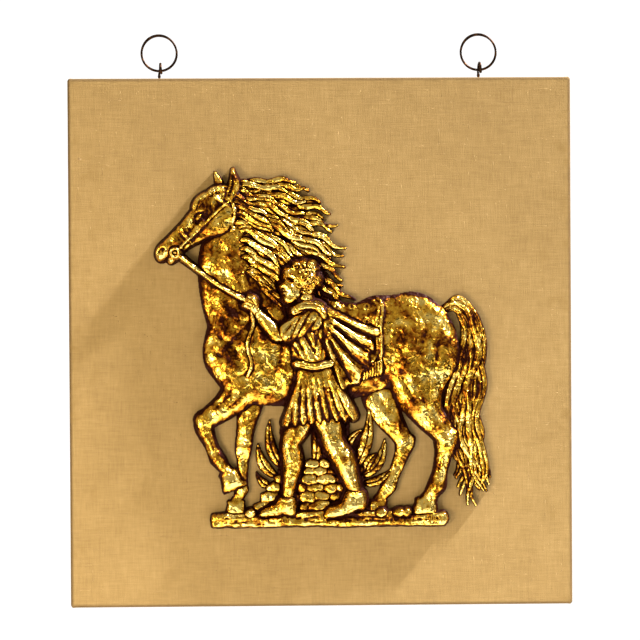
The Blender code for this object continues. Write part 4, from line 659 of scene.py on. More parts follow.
def rein(g):
    """The rein from the bit to the hand, its hanging end, and the ring of the bit."""
    bit = on_head(76, -6.5)
    held = tube(g, [(*bit, 1.9, 13, 2), (-122, 250, 1.8, 10, 2), (-98, 232, 1.8, 14, 2),
                    (-70, 216, 1.8, 18, 2)])
    free = tube(g, [(-64, 210, 1.8, 17.5, 2), (-62, 192, 1.8, 17, 2), (-68, 172, 1.8, 16.5, 2),
                    (-64, 152, 1.7, 16, 2), (-68, 140, 1.4, 15.6, 1.6)])
    around = [(bit[0] + 4.2 * math.cos(a), bit[1] + 4.2 * math.sin(a), 1.3, 14.5, 2)
              for a in np.linspace(0, 2 * math.pi, 13)]
    return held, tube(g, around, 2), free


def outcrop(g):
    """Broken stones behind the groom's feet, larger at the foot of the heap."""
    rng = np.random.default_rng(12)
    h = g.blank()
    z = 50.0
    while z > -2:
        size = 6.5 + 3.5 * (1 - z / 50)
        half = 60 - 0.52 * z
        x = 4 - half + rng.uniform(0, size)
        while x < 4 + half:
            wide = size * rng.uniform(0.9, 1.5)
            corners = []
            for k in range(7):
                a = 2 * math.pi * (k + rng.uniform(-0.25, 0.25)) / 7
                tall = 0.82 * size * rng.uniform(0.8, 1.15)
                corners.append((x + wide * math.cos(a), z + tall * math.sin(a)))
            high = 6.2 + rng.uniform(-0.6, 2.2) - 0.02 * z
            stone = plate(g, corners, high, edge=3.4, crown=1.4, curved=False)[0]
            slant = rng.uniform(-0.09, 0.09)
            h = over(h, np.where(stone > 0, stone + slant * (g.x - x), stone), 0.9, 1.0)
            x += 1.5 * wide
        z -= 1.15 * size
    return h


def leaf(g, root, tip, bend, wide, edge, crown):
    """A broad blade with a midrib and side veins."""
    (x0, z0), (x1, z1) = root, tip
    dx, dz = x1 - x0, z1 - z0

    def at(t, away=0.0):
        arch = 4 * bend * t * (1 - t) + away
        return x0 + t * dx - arch * dz, z0 + t * dz + arch * dx

    widths = ((0, 0.28), (0.22, 0.8), (0.5, 1), (0.8, 0.58), (1, 0.14))
    h = tube(g, [(*at(t), wide * w, edge, crown * (0.4 + 0.6 * w)) for t, w in widths])
    h = stroke(g, h, [at(t) for t in (0, 0.3, 0.6, 0.95)], 1.5, 0.9)
    reach = 0.8 * wide / math.hypot(dx, dz)
    for t in (0.25, 0.42, 0.59, 0.76):
        for side in (-1, 1):
            vein = [at(t), at(t + 0.5 * reach, side * 0.6 * reach), at(t + reach, side * reach)]
            h = stroke(g, h, vein, 0.6, 0.7, 3)
    return h


def shrub(g):
    """Broad leaves that rise behind the outcrop to the horse's belly."""
    leaves = (
        ((46, 30), (76, 44), -0.14, 5.2), ((44, 36), (70, 74), -0.16, 6), ((36, 42), (54, 104), -0.1, 6.5),
        ((26, 44), (36, 112), 0.05, 6.5), ((12, 44), (12, 112), 0.1, 6), ((-2, 44), (-6, 112), -0.08, 6),
        ((-16, 44), (-30, 110), 0.1, 6.5), ((-28, 42), (-46, 94), 0.14, 6),
        ((-36, 36), (-58, 70), 0.16, 5.4), ((-40, 26), (-60, 42), 0.16, 4.6),
        ((50, 42), (62, 60), 0.1, 5), ((30, 44), (46, 84), 0.18, 5.5),
        ((-34, 42), (-36, 82), -0.14, 5.5), ((20, 46), (22, 92), -0.16, 5.5),
        ((-10, 46), (-18, 84), 0.12, 5),
    )
    tops = [leaf(g, root, tip, bend, wide, 3.4 + 0.5 * (i % 3), 3.4)
            for i, (root, tip, bend, wide) in enumerate(leaves)]
    return pile(g.blank(), tops, 1.0, 1.1)


def ground(g):
    """The strip that everything stands on: rough along its top and foot, chipped at its ends, with
    ledges on its face and stones along it."""
    rng = np.random.default_rng(2)
    left, right, foot = -105.0, 133.0, -13.0
    steps = 34
    along = np.linspace(left + 1.0, right - 3.5, steps)
    swell = 1.6 * np.sin((along - left) / 38.0 - 1.5) + 0.7 * np.sin((along - left) / 9.0)
    top = [(x, 0.7 + s + rng.uniform(-0.9, 1.1)) for x, s in zip(along, swell)]
    under = [(x, foot + rng.uniform(0.0, 1.5)) for x in along[::-1]]
    right_end = [(right - 1.4, -1.5), (right, -5.0), (right - 0.8, -9.0)]
    left_end = [(left + 0.8, -10.5), (left, -6.0), (left + 0.5, -2.0)]
    h = plate(g, top + right_end + under + left_end, 10.5, edge=2.6, curved=False)[0]
    for z in (-3.5, -7.5, -11.5):
        x = left + rng.uniform(2, 14)
        while x < right - 30:
            long = rng.uniform(14, 34)
            drift = rng.uniform(-1.2, 1.2, 3)
            ledge = [(x, z, 0.2), (x + 0.3 * long, z + drift[0]), (x + 0.7 * long, z + drift[1]),
                     (x + long, z + drift[2], 0.2)]
            h = stroke(g, h, ledge, 1.0, 1.3)
            x += long + rng.uniform(4, 14)
    for x in (-66, -50, 66, 84, 92):
        wide = rng.uniform(4, 6.5)
        stone = [(x - wide, -0.5), (x - 0.5 * wide, 3.6), (x + 0.4 * wide, 4.4), (x + wide, 0.5), (x, -3.5)]
        h = over(h, plate(g, stone, 12.5, edge=3, crown=1, per_span=3)[0], 0.9, 1.1)
    return h


def carve(g, strands):
    """The height of the whole casting above its back, everywhere on the drawing."""
    h = soften(blend(far_hind_leg(g), far_fore_leg(g), 0), g, 1.2)
    h = over(h, over(shrub(g), outcrop(g)), 1.0)
    h = over(h, tail(g, strands), 1.0)
    horse = blend(blend(trunk(g), near_hind_leg(g), 6), near_fore_leg(g), 4)
    h = over(h, soften(horse, g, 2.0), 1.2)
    h = saddle_cloth(g, muscles(g, h))
    near_ear, far_ear = ears(g)
    h = over(h, far_ear, 0.8)
    h = bridle(g, over(h, soften(horse_head(g), g, 0.7), fillet=0.8))
    h = over(over(h, mane(g, strands), 1.0, 1.4), near_ear, 1.0)
    h = over(h, ground(g), 0.8, 1.5)
    h = pile(h, rein(g), 0.8, 1.2)
    far, near = groom_legs(g)
    torso, belt = tunic(g)
    sleeve, arm = rein_arm(g)
    neck, skull, hair = groom_head(g)
    drape, roll = cloak(g)
    return pile(h, (far, near, drape, neck, torso, belt, skull, hair, roll, arm, sleeve))


def flood(seed, allowed):
    """The part of a region that joins on to the seeds."""
    while True:
        wider = seed.copy()
        wider[1:] |= seed[:-1]
        wider[:-1] |= seed[1:]
        wider[:, 1:] |= seed[:, :-1]
        wider[:, :-1] |= seed[:, 1:]
        wider &= allowed
        if (wider == seed).all():
            return seed
        seed = wider


def one_casting(h, g):
    """The heights with loose specks removed and pinholes closed, so that the casting is one body."""
    solid = h > RIM_LEVEL
    seed = solid & (np.hypot(g.x - BODY_MIDDLE[0], g.z - BODY_MIDDLE[1]) < BODY_REACH)
    h = np.where(solid & ~flood(seed, solid), RIM_LEVEL - 1, h)
    gap = h <= RIM_LEVEL
    core = gap.copy()
    for _ in range(int(round(SMALLEST_HOLE / (2 * g.step)))):
        core[1:-1, 1:-1] &= core[2:, 1:-1] & core[:-2, 1:-1] & core[1:-1, 2:] & core[1:-1, :-2]
    return np.where(gap & ~flood(core, gap), RIM_LEVEL + 0.6, h)


def relief_surface(h, g, place):
    """Vertices and faces of the carved front: grid squares, trimmed where the surface drops to the rim."""
    inside = h > RIM_LEVEL
    names = {}
    points = []

    def corner(r, c):
        key = (r, c)
        if key not in names:
            names[key] = len(points)
            points.append(place(g.xs[c], g.zs[r], h[r, c]))
        return names[key]

    def crossing(r0, c0, r1, c1):
        key = (r0, c0, r1, c1) if (r0, c0) < (r1, c1) else (r1, c1, r0, c0)
        if key not in names:
            t = (RIM_LEVEL - h[r0, c0]) / (h[r1, c1] - h[r0, c0])
            t = min(max(t, 0.04), 0.96)
            names[key] = len(points)
            x = g.xs[c0] + t * (g.xs[c1] - g.xs[c0])
            z = g.zs[r0] + t * (g.zs[r1] - g.zs[r0])
            points.append(place(x, z, RIM_LEVEL))
        return names[key]

    faces = []
    rows, cols = np.nonzero(inside[:-1, :-1] | inside[1:, :-1] | inside[:-1, 1:] | inside[1:, 1:])
    for r, c in zip(rows.tolist(), cols.tolist()):
        ring = [(r, c), (r, c + 1), (r + 1, c + 1), (r + 1, c)]
        full = [bool(inside[p]) for p in ring]
        if all(full):
            faces.append([corner(*p) for p in ring])
        elif sum(full) == 2 and full[0] == full[2]:
            for k in (0, 1, 2, 3):
                if full[k]:
                    before, after = ring[k - 1], ring[(k + 1) % 4]
                    faces.append([crossing(*ring[k], *before), corner(*ring[k]), crossing(*ring[k], *after)])
        else:
            face = []
            for k in range(4):
                after = (k + 1) % 4
                if full[k]:
                    face.append(corner(*ring[k]))
                if full[k] != full[after]:
                    face.append(crossing(*ring[k], *ring[after]))
            faces.append(face)
    return points, faces


def smooth_step(value):
    t = np.clip(value, 0, 1)
    return t * t * (3 - 2 * t)


def within(value, low, high):
    """How far a value is on its way from low to high, between 0 and 1."""
    return np.clip((value - low) / (high - low), 0, 1)


def read_between(field, u, v, ease=lambda share: share):
    """A grid of values read at places between its points."""
    i, j = u.astype(int), v.astype(int)
    a, b = ease(u - i), ease(v - j)
    low = field[j, i] * (1 - a) + field[j, i + 1] * a
    high = field[j + 1, i] * (1 - a) + field[j + 1, i + 1] * a
    return low * (1 - b) + high * b


def lumps(g, size, seed):
    """Smooth random lumps about one size across, between -1 and 1."""
    u, v = (g.x - g.xs[0]) / size, (g.z - g.zs[0]) / size
    table = np.random.default_rng(seed).uniform(-1, 1, (int(v.max()) + 3, int(u.max()) + 3))
    return read_between(table, u, v, smooth_step)


FINE_PLACES = ((-25, 231, 15), (-66, 214, 11), (-112, 296, 12))
STRIP_TOP = -1.0


def worked_surface(h, g):
    """The casting's surface, rough from its mould and dented by the chaser's punches, finer on the face,
    the hand and the horse's eye, and rougher on the ground strip."""
    dents = 0.50 * lumps(g, 9.5, 31) - 0.42 * np.abs(lumps(g, 4.6, 32))
    pits = -0.55 * np.clip(lumps(g, 2.7, 33) - 0.45, 0, 1) + 0.10 * lumps(g, 1.7, 34)
    share = np.ones(g.x.shape)
    for x, z, reach in FINE_PLACES:
        share -= 0.75 * np.exp(-((g.x - x) ** 2 + (g.z - z) ** 2) / reach ** 2)
    share += 1.3 * within(STRIP_TOP - g.z, 0.0, 2.0)
    return np.where(h > RIM_LEVEL, np.maximum(h + share * (dents + pits), RIM_LEVEL + 0.05), h)


MARK_ROWS = (-4.6, -9.6)
MARKS_LEFT, MARKS_RIGHT = 84.0, 124.0


def strip_marks(h, g):
    """Rows of shallow strokes on the right end of the ground strip."""
    rng = np.random.default_rng(17)
    for z in MARK_ROWS:
        x = MARKS_LEFT
        while x < MARKS_RIGHT:
            long, lean = rng.uniform(1.2, 2.4), rng.uniform(-0.8, 0.8)
            mark = [(x, z - 1.1, 0.7), (x + 0.5 * lean, z + 0.2), (x + lean, z + 1.2, 0.7)]
            h = stroke(g, h, mark, 0.7, 0.55, 2)
            x += long
    return h


def wax_and_rub(h, g):
    """Where dark wax is left in the recesses, and where the high places are rubbed bright."""
    close, near, wide = [level_around(np.maximum(h, RIM_LEVEL), g, width, RIM_LEVEL, 1e-3)
                         for width in (1.3, 3.0, 9.0)]
    narrow_groove = within(close - h, 0.10, 0.42)
    groove = within(near - h, 0.30, 1.3)
    low_ground = within(wide - h, 1.2, 4.6)
    skirt = within(RIM_LEVEL + 2.8 - h, 0.0, 1.8)
    wax = 1 - (1 - 0.85 * narrow_groove) * (1 - groove) * (1 - 0.75 * low_ground) * (1 - skirt)
    rub = within(h - near, 0.1, 0.9) + 0.5 * within(h - wide, 0.5, 3.5)
    return wax, np.clip(rub, 0, 1)


def link(name, data):
    obj = bpy.data.objects.new(name, data)
    bpy.context.scene.collection.objects.link(obj)
    return obj


def finish_mesh(obj):
    """Gives the object its evaluated mesh as a plain one, with no modifier left."""
    mesh = bpy.data.meshes.new_from_object(obj.evaluated_get(bpy.context.evaluated_depsgraph_get()))
    old = obj.data
    obj.modifiers.clear()
    obj.data = mesh
    bpy.data.meshes.remove(old)
    mesh.name = obj.name


def carved_mesh(h, g, place, back_y):
    """The carved front, its upright rim and a flat back, as one closed skin."""
    points, faces = relief_surface(h, g, place)
    mesh = bpy.data.meshes.new("carving")
    mesh.from_pydata(points, [], faces)
    bm = bmesh.new()
    bm.from_mesh(mesh)
    walls = bmesh.ops.extrude_edge_only(bm, edges=[e for e in bm.edges if e.is_boundary])["geom"]
    for part in walls:
        if isinstance(part, bmesh.types.BMVert):
            part.co.y = back_y
    outline = [part for part in walls if isinstance(part, bmesh.types.BMEdge) and part.is_boundary]
    bmesh.ops.triangle_fill(bm, use_beauty=True, use_dissolve=False, edges=outline, normal=(0, 1, 0))
    bmesh.ops.triangulate(bm, faces=bm.faces)
    bmesh.ops.recalc_face_normals(bm, faces=bm.faces)
    bm.to_mesh(mesh)
    bm.free()
    return mesh


CASTING_TRIANGLES = 188000
RIM_SLACK = 1.02


def horse_casting():
    """The casting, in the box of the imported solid, with its wax and its rubbing as attributes."""
    g = Drawing(*DRAWING_BOX, FINE_STEP)
    h = one_casting(carve(g, STRAND_DEPTH), g)
    xs, zs = g.x[h > RIM_LEVEL], g.z[h > RIM_LEVEL]
    left, foot = xs.min(), zs.min()
    scale_x = (RELIEF_HIGH.x - RELIEF_LOW.x) / (xs.max() - left)
    scale_z = (RELIEF_HIGH.z - RELIEF_LOW.z) / (zs.max() - foot)
    back_y = RELIEF_HIGH.y
    h = strip_marks(worked_surface(h, g), g)
    wax, rub = wax_and_rub(h, g)

    def place(x, z, height):
        across, up = scale_x * (x - left), scale_z * (z - foot)
        return RELIEF_LOW.x + across, back_y - scale_z * height, RELIEF_LOW.z + up

    obj = link("horse_and_groom", carved_mesh(h, g, place, back_y))
    thin = obj.modifiers.new("Fewer facets", "DECIMATE")
    thin.ratio = min(CASTING_TRIANGLES / len(obj.data.polygons), 1.0)
    finish_mesh(obj)
    mesh = obj.data
    co = np.zeros(3 * len(mesh.vertices))
    mesh.vertices.foreach_get("co", co)
    x, y, z = co.reshape(-1, 3).T
    u = np.clip((left + (x - RELIEF_LOW.x) / scale_x - g.xs[0]) / g.step, 0, len(g.xs) - 1.001)
    v = np.clip((foot + (z - RELIEF_LOW.z) / scale_z - g.zs[0]) / g.step, 0, len(g.zs) - 1.001)
    on_rim = back_y - y < RIM_SLACK * scale_z * RIM_LEVEL
    for name, field, at_rim in (("wax", wax, 1.0), ("rub", rub, 0.0)):
        values = np.where(on_rim, at_rim, read_between(field, u, v))
        mesh.attributes.new(name, "FLOAT", "POINT").data.foreach_set("value", values.astype(np.float32))
    mesh.shade_smooth()
    mesh.set_sharp_from_angle(angle=math.radians(60))
    return obj


def closed_mesh(name, points, faces, sharpest):
    """A mesh with its faces turned outwards, smooth but for the edges sharper than an angle in degrees."""
    mesh = bpy.data.meshes.new(name)
    mesh.from_pydata(points, [], faces)
    bm = bmesh.new()
    bm.from_mesh(mesh)
    bmesh.ops.recalc_face_normals(bm, faces=bm.faces)
    bm.to_mesh(mesh)
    bm.free()
    mesh.shade_smooth()
    mesh.set_sharp_from_angle(angle=math.radians(sharpest))
    return mesh


LINE_GAP = 0.005
FOLD_LINE_GAP = 0.0011
CORNER_LINE_GAP = 0.0006
PIERCED_LINE_GAP = 0.0008
PIERCED_REACH = 0.006
FOLD_REACH = 0.003


def cloth_lines(half, busy=()):
    """Lines across the cloth from edge to edge, closer together at the corners and round the screw eyes."""
    lines = []
    p = -half
    while p < -0.5 * LINE_GAP:
        lines.append(p)
        from_edge = p + half
        gap = LINE_GAP
        if any(abs(p - b) < PIERCED_REACH for b in busy):
            gap = PIERCED_LINE_GAP
        elif from_edge < CORNER_ROUND - 1e-6:
            gap = CORNER_LINE_GAP
        elif from_edge < PLAQUE_DEPTH + FOLD_REACH:
            gap = FOLD_LINE_GAP
        p += gap
    return np.array(lines + [0.0] + [-p for p in reversed(lines)])


RIPPLE_WAVES = 14
RIPPLE_LEVEL = 5.0


def ripple(x, z, shortest, longest, seed):
    """A gentle random swell, about -1 to 1, made of waves of many directions."""
    rng = np.random.default_rng(seed)
    total = np.zeros(np.shape(x))
    for _ in range(RIPPLE_WAVES):
        way, start = rng.uniform(0, 2 * math.pi, 2)
        run = 2 * math.pi / rng.uniform(shortest, longest)
        total += np.sin(run * (x * math.cos(way) + z * math.sin(way)) + start)
    return total / RIPPLE_LEVEL


def front_places(lines, half):
    """Where the lines lie on the front face, drawn in towards the corner's small radius at their ends."""
    turn = 0.25 * math.pi * np.clip(1 - (half - np.abs(lines)) / CORNER_ROUND, 0, 1)
    places = np.minimum(np.abs(lines), half - CORNER_ROUND) + TIGHT_CORNER * np.sin(turn)
    return np.sign(lines) * places


class ClothEdge:
    """The cloth's lines where they meet the plaque's edge, once round it: bottom, right, top and left."""

    def __init__(self, xs, zs):
        ends = [(0, -1, xs[:-1]), (1, 1, zs[:-1]), (0, 1, -xs[:-1]), (1, -1, -zs[:-1])]
        self.upright = np.concatenate([np.full(len(s), axis) for axis, _, s in ends]) == 1
        self.out = np.concatenate([np.full(len(s), side) for _, side, s in ends])
        self.along = np.concatenate([s for _, _, s in ends])
        self.half = np.where(self.upright, HALF_HEIGHT, HALF_WIDTH)
        self.from_corner = self.half - np.abs(self.along)

    def swell(self, shortest, longest, seed):
        """A ripple along each of the four edges, different on each."""
        return ripple(self.along, 3.0 * self.out + 7.0 * self.upright, shortest, longest, seed)

    def ring(self, inset):
        """Places and outward directions round the plaque, this far in from its rounded edge."""
        r = np.maximum(CORNER_ROUND - inset, TIGHT_CORNER)
        other = np.where(self.upright, HALF_WIDTH, HALF_HEIGHT) - inset
        turn = 0.25 * math.pi * np.clip(1 - self.from_corner / CORNER_ROUND, 0, 1)
        hand = np.sign(self.along)
        share = np.clip(np.abs(self.along) / (self.half - CORNER_ROUND), 0, 1)
        along = hand * ((self.half - inset - r) * share + r * np.sin(turn))
        across = self.out * (other - r + r * np.cos(turn))
        n_along, n_across = hand * np.sin(turn), self.out * np.cos(turn)
        pairs = ((across, along), (along, across), (n_across, n_along), (n_along, n_across))
        return [np.where(self.upright, first, second) for first, second in pairs]


def cloth_section():
    """Inset, depth and face of each row of the cloth, from the front's edge round the back to its inside."""
    front, r, t = -PLAQUE_DEPTH, EDGE_ROUND, LINEN_THICK
    quarter = [0.5 * math.pi * k / 6 for k in range(7)]
    inner = t + max(r - t, TIGHT_CORNER)
    edge = [(r * (1 - math.sin(a)), front + r * (1 - math.cos(a))) for a in quarter]
    side = [(0.0, front + r + (PLAQUE_DEPTH - 2 * r) * k / 14) for k in range(1, 14)]
    back_edge = [(r * (1 - math.cos(a)), -r * (1 - math.sin(a))) for a in quarter]
    hem = [(r + (HEM_WIDTH - r) * k / 12, 0.0) for k in range(1, 12)]
    cut = [(HEM_WIDTH, -share * t) for share in (0.15, 0.85)]
    inside = [(inner, -t), (t, -inner), (t, front + inner), (inner, front + t)]
    rows = (("side", edge + side + back_edge), ("hem", hem), ("cut", cut), ("inside", inside))
    return [(inset, y, face) for face, places in rows for inset, y in places]


FRONT_SWELL = 0.00011
SIDE_SWELL = 0.00010
HEM_SAG = 0.00008
CUT_FRAY = 0.0006
FOLD_LIFT = 0.00045
FOLD_SHARP = 0.0012
FOLD_FADE = 0.0016
MITRE_DEPTH = 0.00045


def pushed_lip(away):
    """How far the cloth stands up in a lip round a screw eye, and dips at the eye itself."""
    return 0.00045 * np.exp(-((away - 0.0024) / 0.0008) ** 2) - 0.0004 * np.exp(-(away / 0.0013) ** 2)


def linen_mesh():
    """The cloth as one closed skin: taut front, folded corners, hems mitred on the back and cut edges."""
    pierced = [0.5 * (low.x + high.x) for low, high in (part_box("ring_left"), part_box("ring_right"))]
    xs, zs = cloth_lines(HALF_WIDTH, pierced), cloth_lines(HALF_HEIGHT)
    edge = ClothEdge(xs, zs)
    around = len(edge.along)
    start_x, start_z, _, _ = edge.ring(EDGE_ROUND)
    gx, gz = np.meshgrid(front_places(xs, HALF_WIDTH), front_places(zs, HALF_HEIGHT))
    margin = np.minimum(HALF_WIDTH - np.abs(gx), HALF_HEIGHT - np.abs(gz))
    swelling = FRONT_SWELL * smooth_step((margin - 0.003) / 0.012)
    gy = -PLAQUE_DEPTH + swelling * ripple(gx, gz, 0.016, 0.07, 3)
    number = np.arange(gx.size).reshape(gx.shape)
    border = np.concatenate([number[0, :-1], number[:-1, -1], number[-1, :0:-1], number[:0:-1, 0]])
    gx.ravel()[border], gz.ravel()[border] = start_x, start_z
    gy.ravel()[border] = -PLAQUE_DEPTH
    places = [np.stack([gx.ravel(), gy.ravel(), gz.ravel() + CENTRE_Z], 1)]
    cloth = [np.stack([gx.ravel(), gz.ravel()], 1)]
    corners = number[:-1, :-1], number[:-1, 1:], number[1:, 1:], number[1:, :-1]
    faces = np.stack([corner.ravel() for corner in corners], 1).tolist()
    previous, length, first = border, 0.0, gx.size
    swell, fray = edge.swell(0.02, 0.09, 5), edge.swell(0.004, 0.02, 6)
    rows = cloth_section()
    for (before_inset, before_y, _), (inset, y, face) in zip(rows[:-1], rows[1:]):
        if face != "inside":
            length += math.hypot(inset - before_inset, y - before_y)
        if face == "cut":
            inset = inset + CUT_FRAY * fray
        x, z, out_x, out_z = edge.ring(inset)
        depth = np.full(around, y)
        level = (y + PLAQUE_DEPTH) / PLAQUE_DEPTH
        if face == "side":
            bulge = SIDE_SWELL * swell * smooth_step(4 * level * (1 - level))
            folded = smooth_step((PLAQUE_DEPTH * level + FOLD_SHARP - edge.from_corner) / FOLD_SHARP)
            folded *= smooth_step(edge.from_corner / FOLD_FADE) * ~edge.upright * smooth_step(6 * level)
            bulge = bulge + FOLD_LIFT * folded
            for middle in pierced:
                lip = pushed_lip(np.hypot(x - middle, y + 0.5 * PLAQUE_DEPTH))
                bulge = bulge + np.where((edge.out > 0) & ~edge.upright, lip, 0)
            x, z = x + bulge * out_x, z + bulge * out_z
        if face == "hem":
            deep = smooth_step(1 - edge.from_corner / CORNER_ROUND)
            depth -= MITRE_DEPTH * deep + HEM_SAG * (1 + swell) * (1 - deep)
        places.append(np.stack([x, depth, z + CENTRE_Z], 1))
        cloth.append(np.stack([start_x + length * out_x, start_z + length * out_z], 1))
        current = np.arange(first, first + around)
        first += around
        faces += np.stack([previous, current, np.roll(current, -1), np.roll(previous, -1)], 1).tolist()
        previous = current
    faces.append(previous.tolist())
    mesh = closed_mesh("linen", np.concatenate(places).tolist(), faces, 50)
    corners = np.zeros(len(mesh.loops), np.int32)
    mesh.loops.foreach_get("vertex_index", corners)
    layer = mesh.uv_layers.new(name="cloth")
    layer.data.foreach_set("uv", np.concatenate(cloth)[corners].astype(np.float32).ravel())
    return mesh


def wire_mesh(name, path, radii, sides, closed=False):
    """A round wire along a path, with a radius for every point, or for every point and side."""
    p = np.array(path, float)
    run = np.roll(p, -1, 0) - np.roll(p, 1, 0) if closed else np.gradient(p, axis=0)
    run /= np.linalg.norm(run, axis=1, keepdims=True)
    side = np.array([1.0, 0.0, 0.0]) if abs(run[0, 0]) < 0.9 else np.array([0.0, 1.0, 0.0])
    turns = np.linspace(0, 2 * math.pi, sides, endpoint=False)
    rings = []
    for centre, along, radius in zip(p, run, radii):
        side = side - (side @ along) * along
        side /= np.linalg.norm(side)
        circle = np.cos(turns)[:, None] * side + np.sin(turns)[:, None] * np.cross(along, side)
        rings.append(centre + np.reshape(radius, (-1, 1)) * circle)
    count = len(p)
    faces = []
    for i in range(count if closed else count - 1):
        a, b = i * sides, ((i + 1) % count) * sides
        faces += [(a + k, a + (k + 1) % sides, b + (k + 1) % sides, b + k) for k in range(sides)]
    if not closed:
        faces += [tuple(range(sides)), tuple(range((count - 1) * sides, count * sides))]
    return closed_mesh(name, np.concatenate(rings).tolist(), faces, 55)


EYE_WIRE = 0.0026
EYE_SIDES = 18
EYE_STEPS = 64
EYE_OPEN_FROM, EYE_OPEN_TO = math.radians(-72), math.radians(252)
SHANK_ROOT = 0.00085
SHANK_STEP = 0.00022
POINT_LENGTH = 0.004
THREAD_PITCH = 0.0011
THREAD_DEPTH = 0.00036
THREAD_STOP = 0.0012


def screw_eye_mesh(node):
    """A rod bent into an eye, narrowed to the root of its thread where it enters the board."""
    low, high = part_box(node)
    x, y = low.x + 0.5 * EYE_WIRE, 0.5 * (low.y + high.y)
    mean = 0.5 * (high.y - low.y - EYE_WIRE)
    middle_z = high.z - 0.5 * EYE_WIRE - mean
    neck_z, top_edge = middle_z - mean - 0.9 * EYE_WIRE, LINEN_HIGH.z
    turns = np.linspace(0, 1, EYE_SIDES, endpoint=False)
    path, radii = [], []
    for z in np.arange(low.z, neck_z, SHANK_STEP):
        point = min(1.0, 0.25 + (z - low.z) / POINT_LENGTH)
        helix = np.abs((turns + (z - low.z) / THREAD_PITCH) % 1 - 0.5) * 2
        ridge = THREAD_DEPTH * np.clip(1 - helix / 0.6, 0, 1) * (z < top_edge - THREAD_STOP)
        flare = (0.64 * EYE_WIRE - SHANK_ROOT) * smooth_step((z - top_edge) / (neck_z - top_edge))
        path.append((x, y, z))
        radii.append((SHANK_ROOT + flare + ridge) * point)
    radius = np.full(EYE_SIDES, 0.5 * EYE_WIRE)
    path.append((x, y + 0.10 * EYE_WIRE, neck_z + 0.5 * EYE_WIRE))
    radii.append(radius)
    drift = high.x - low.x - EYE_WIRE
    for t in np.linspace(0, 1, EYE_STEPS + 1):
        a = EYE_OPEN_FROM + t * (EYE_OPEN_TO - EYE_OPEN_FROM)
        path.append((x + drift * t, y + mean * math.cos(a), middle_z + mean * math.sin(a)))
        radii.append(radius * (1 - 0.25 * smooth_step((t - 0.97) / 0.03)))
    return wire_mesh("eye", path, radii, EYE_SIDES)


RING_POINTS = 144
RING_SIDES = 20
RING_BOW = 0.00022
RING_PHASE = 0.9


def ring_mesh(node):
    """A ring of bent wire, a little uneven in thickness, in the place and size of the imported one."""
    low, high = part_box(node)
    wire = high.y - low.y
    mean = 0.5 * (high.x - low.x - wire)
    centre = 0.5 * (low + high)
    path, radii = [], []
    for a in np.linspace(0, 2 * math.pi, RING_POINTS, endpoint=False):
        top = 0.5 * (1 - math.cos(a))
        uneven = top * math.sin(2 * a + RING_PHASE)
        out = mean + RING_BOW * uneven
        path.append((centre.x + out * math.sin(a), centre.y, centre.z - out * math.cos(a)))
        radii.append(0.5 * wire * (1.04 + 0.20 * uneven + 0.03 * top * math.sin(7 * a)))
    return wire_mesh("ring", path, radii, RING_SIDES, closed=True)


class Value:
    """A node's output, with which sums are written as with numbers."""

    def __init__(self, tree, socket):
        self.tree, self.socket = tree, socket

    def __add__(self, other):
        return self.tree.sum("ADD", self, other)

    def __sub__(self, other):
        return self.tree.sum("SUBTRACT", self, other)

    def __mul__(self, other):
        return self.tree.sum("MULTIPLY", self, other)

    def __pow__(self, other):
        return self.tree.sum("POWER", self, other)

    def __abs__(self):
        return self.tree.sum("ABSOLUTE", self)


class Tree:
    """A node tree in the making."""

    def __init__(self, tree):
        self.nodes, self.links = tree.nodes, tree.links

    def feed(self, value, socket):
        if isinstance(value, Value):
            self.links.new(value.socket, socket)
        else:
            socket.default_value = value

    def node(self, kind, settings=None, output=None, **inputs):
        """One output of a new node, the first where no name is given, with the node's inputs fed by name."""
        made = self.nodes.new(kind)
        for key, value in (settings or {}).items():
            setattr(made, key, value)
        for key, value in inputs.items():
            label = key.replace("_", " ")
            self.feed(value, next(s for s in made.inputs if s.name == label and s.enabled))
        return Value(self, next(s for s in made.outputs if s.enabled and output in (None, s.name)))

    def sum(self, operation, *values, kind="ShaderNodeMath"):
        made = self.nodes.new(kind)
        made.operation = operation
        for value, socket in zip(values, made.inputs):
            self.feed(value, socket)
        return Value(self, made.outputs[0])

    def split(self, vector):
        """The x, y and z of a vector."""
        made = self.nodes.new("ShaderNodeSeparateXYZ")
        self.feed(vector, made.inputs[0])
        return [Value(self, socket) for socket in made.outputs]

    def triple(self, x, y, z):
        return self.node("ShaderNodeCombineXYZ", X=x, Y=y, Z=z)

    def band(self, value, low, high, to_low=0.0, to_high=1.0):
        """The value from low to high, drawn out to another span and held there."""
        return self.node("ShaderNodeMapRange", {"clamp": True}, Value=value, From_Min=low, From_Max=high,
                         To_Min=to_low, To_Max=to_high)

    def ramp(self, value, stops):
        made = self.nodes.new("ShaderNodeValToRGB")
        self.feed(value, made.inputs[0])
        bar = made.color_ramp.elements
        while len(bar) < len(stops):
            bar.new(0.5)
        for element, (at, colour) in zip(bar, stops):
            element.position = at
            element.color = (*colour, 1)
        return Value(self, made.outputs[0])


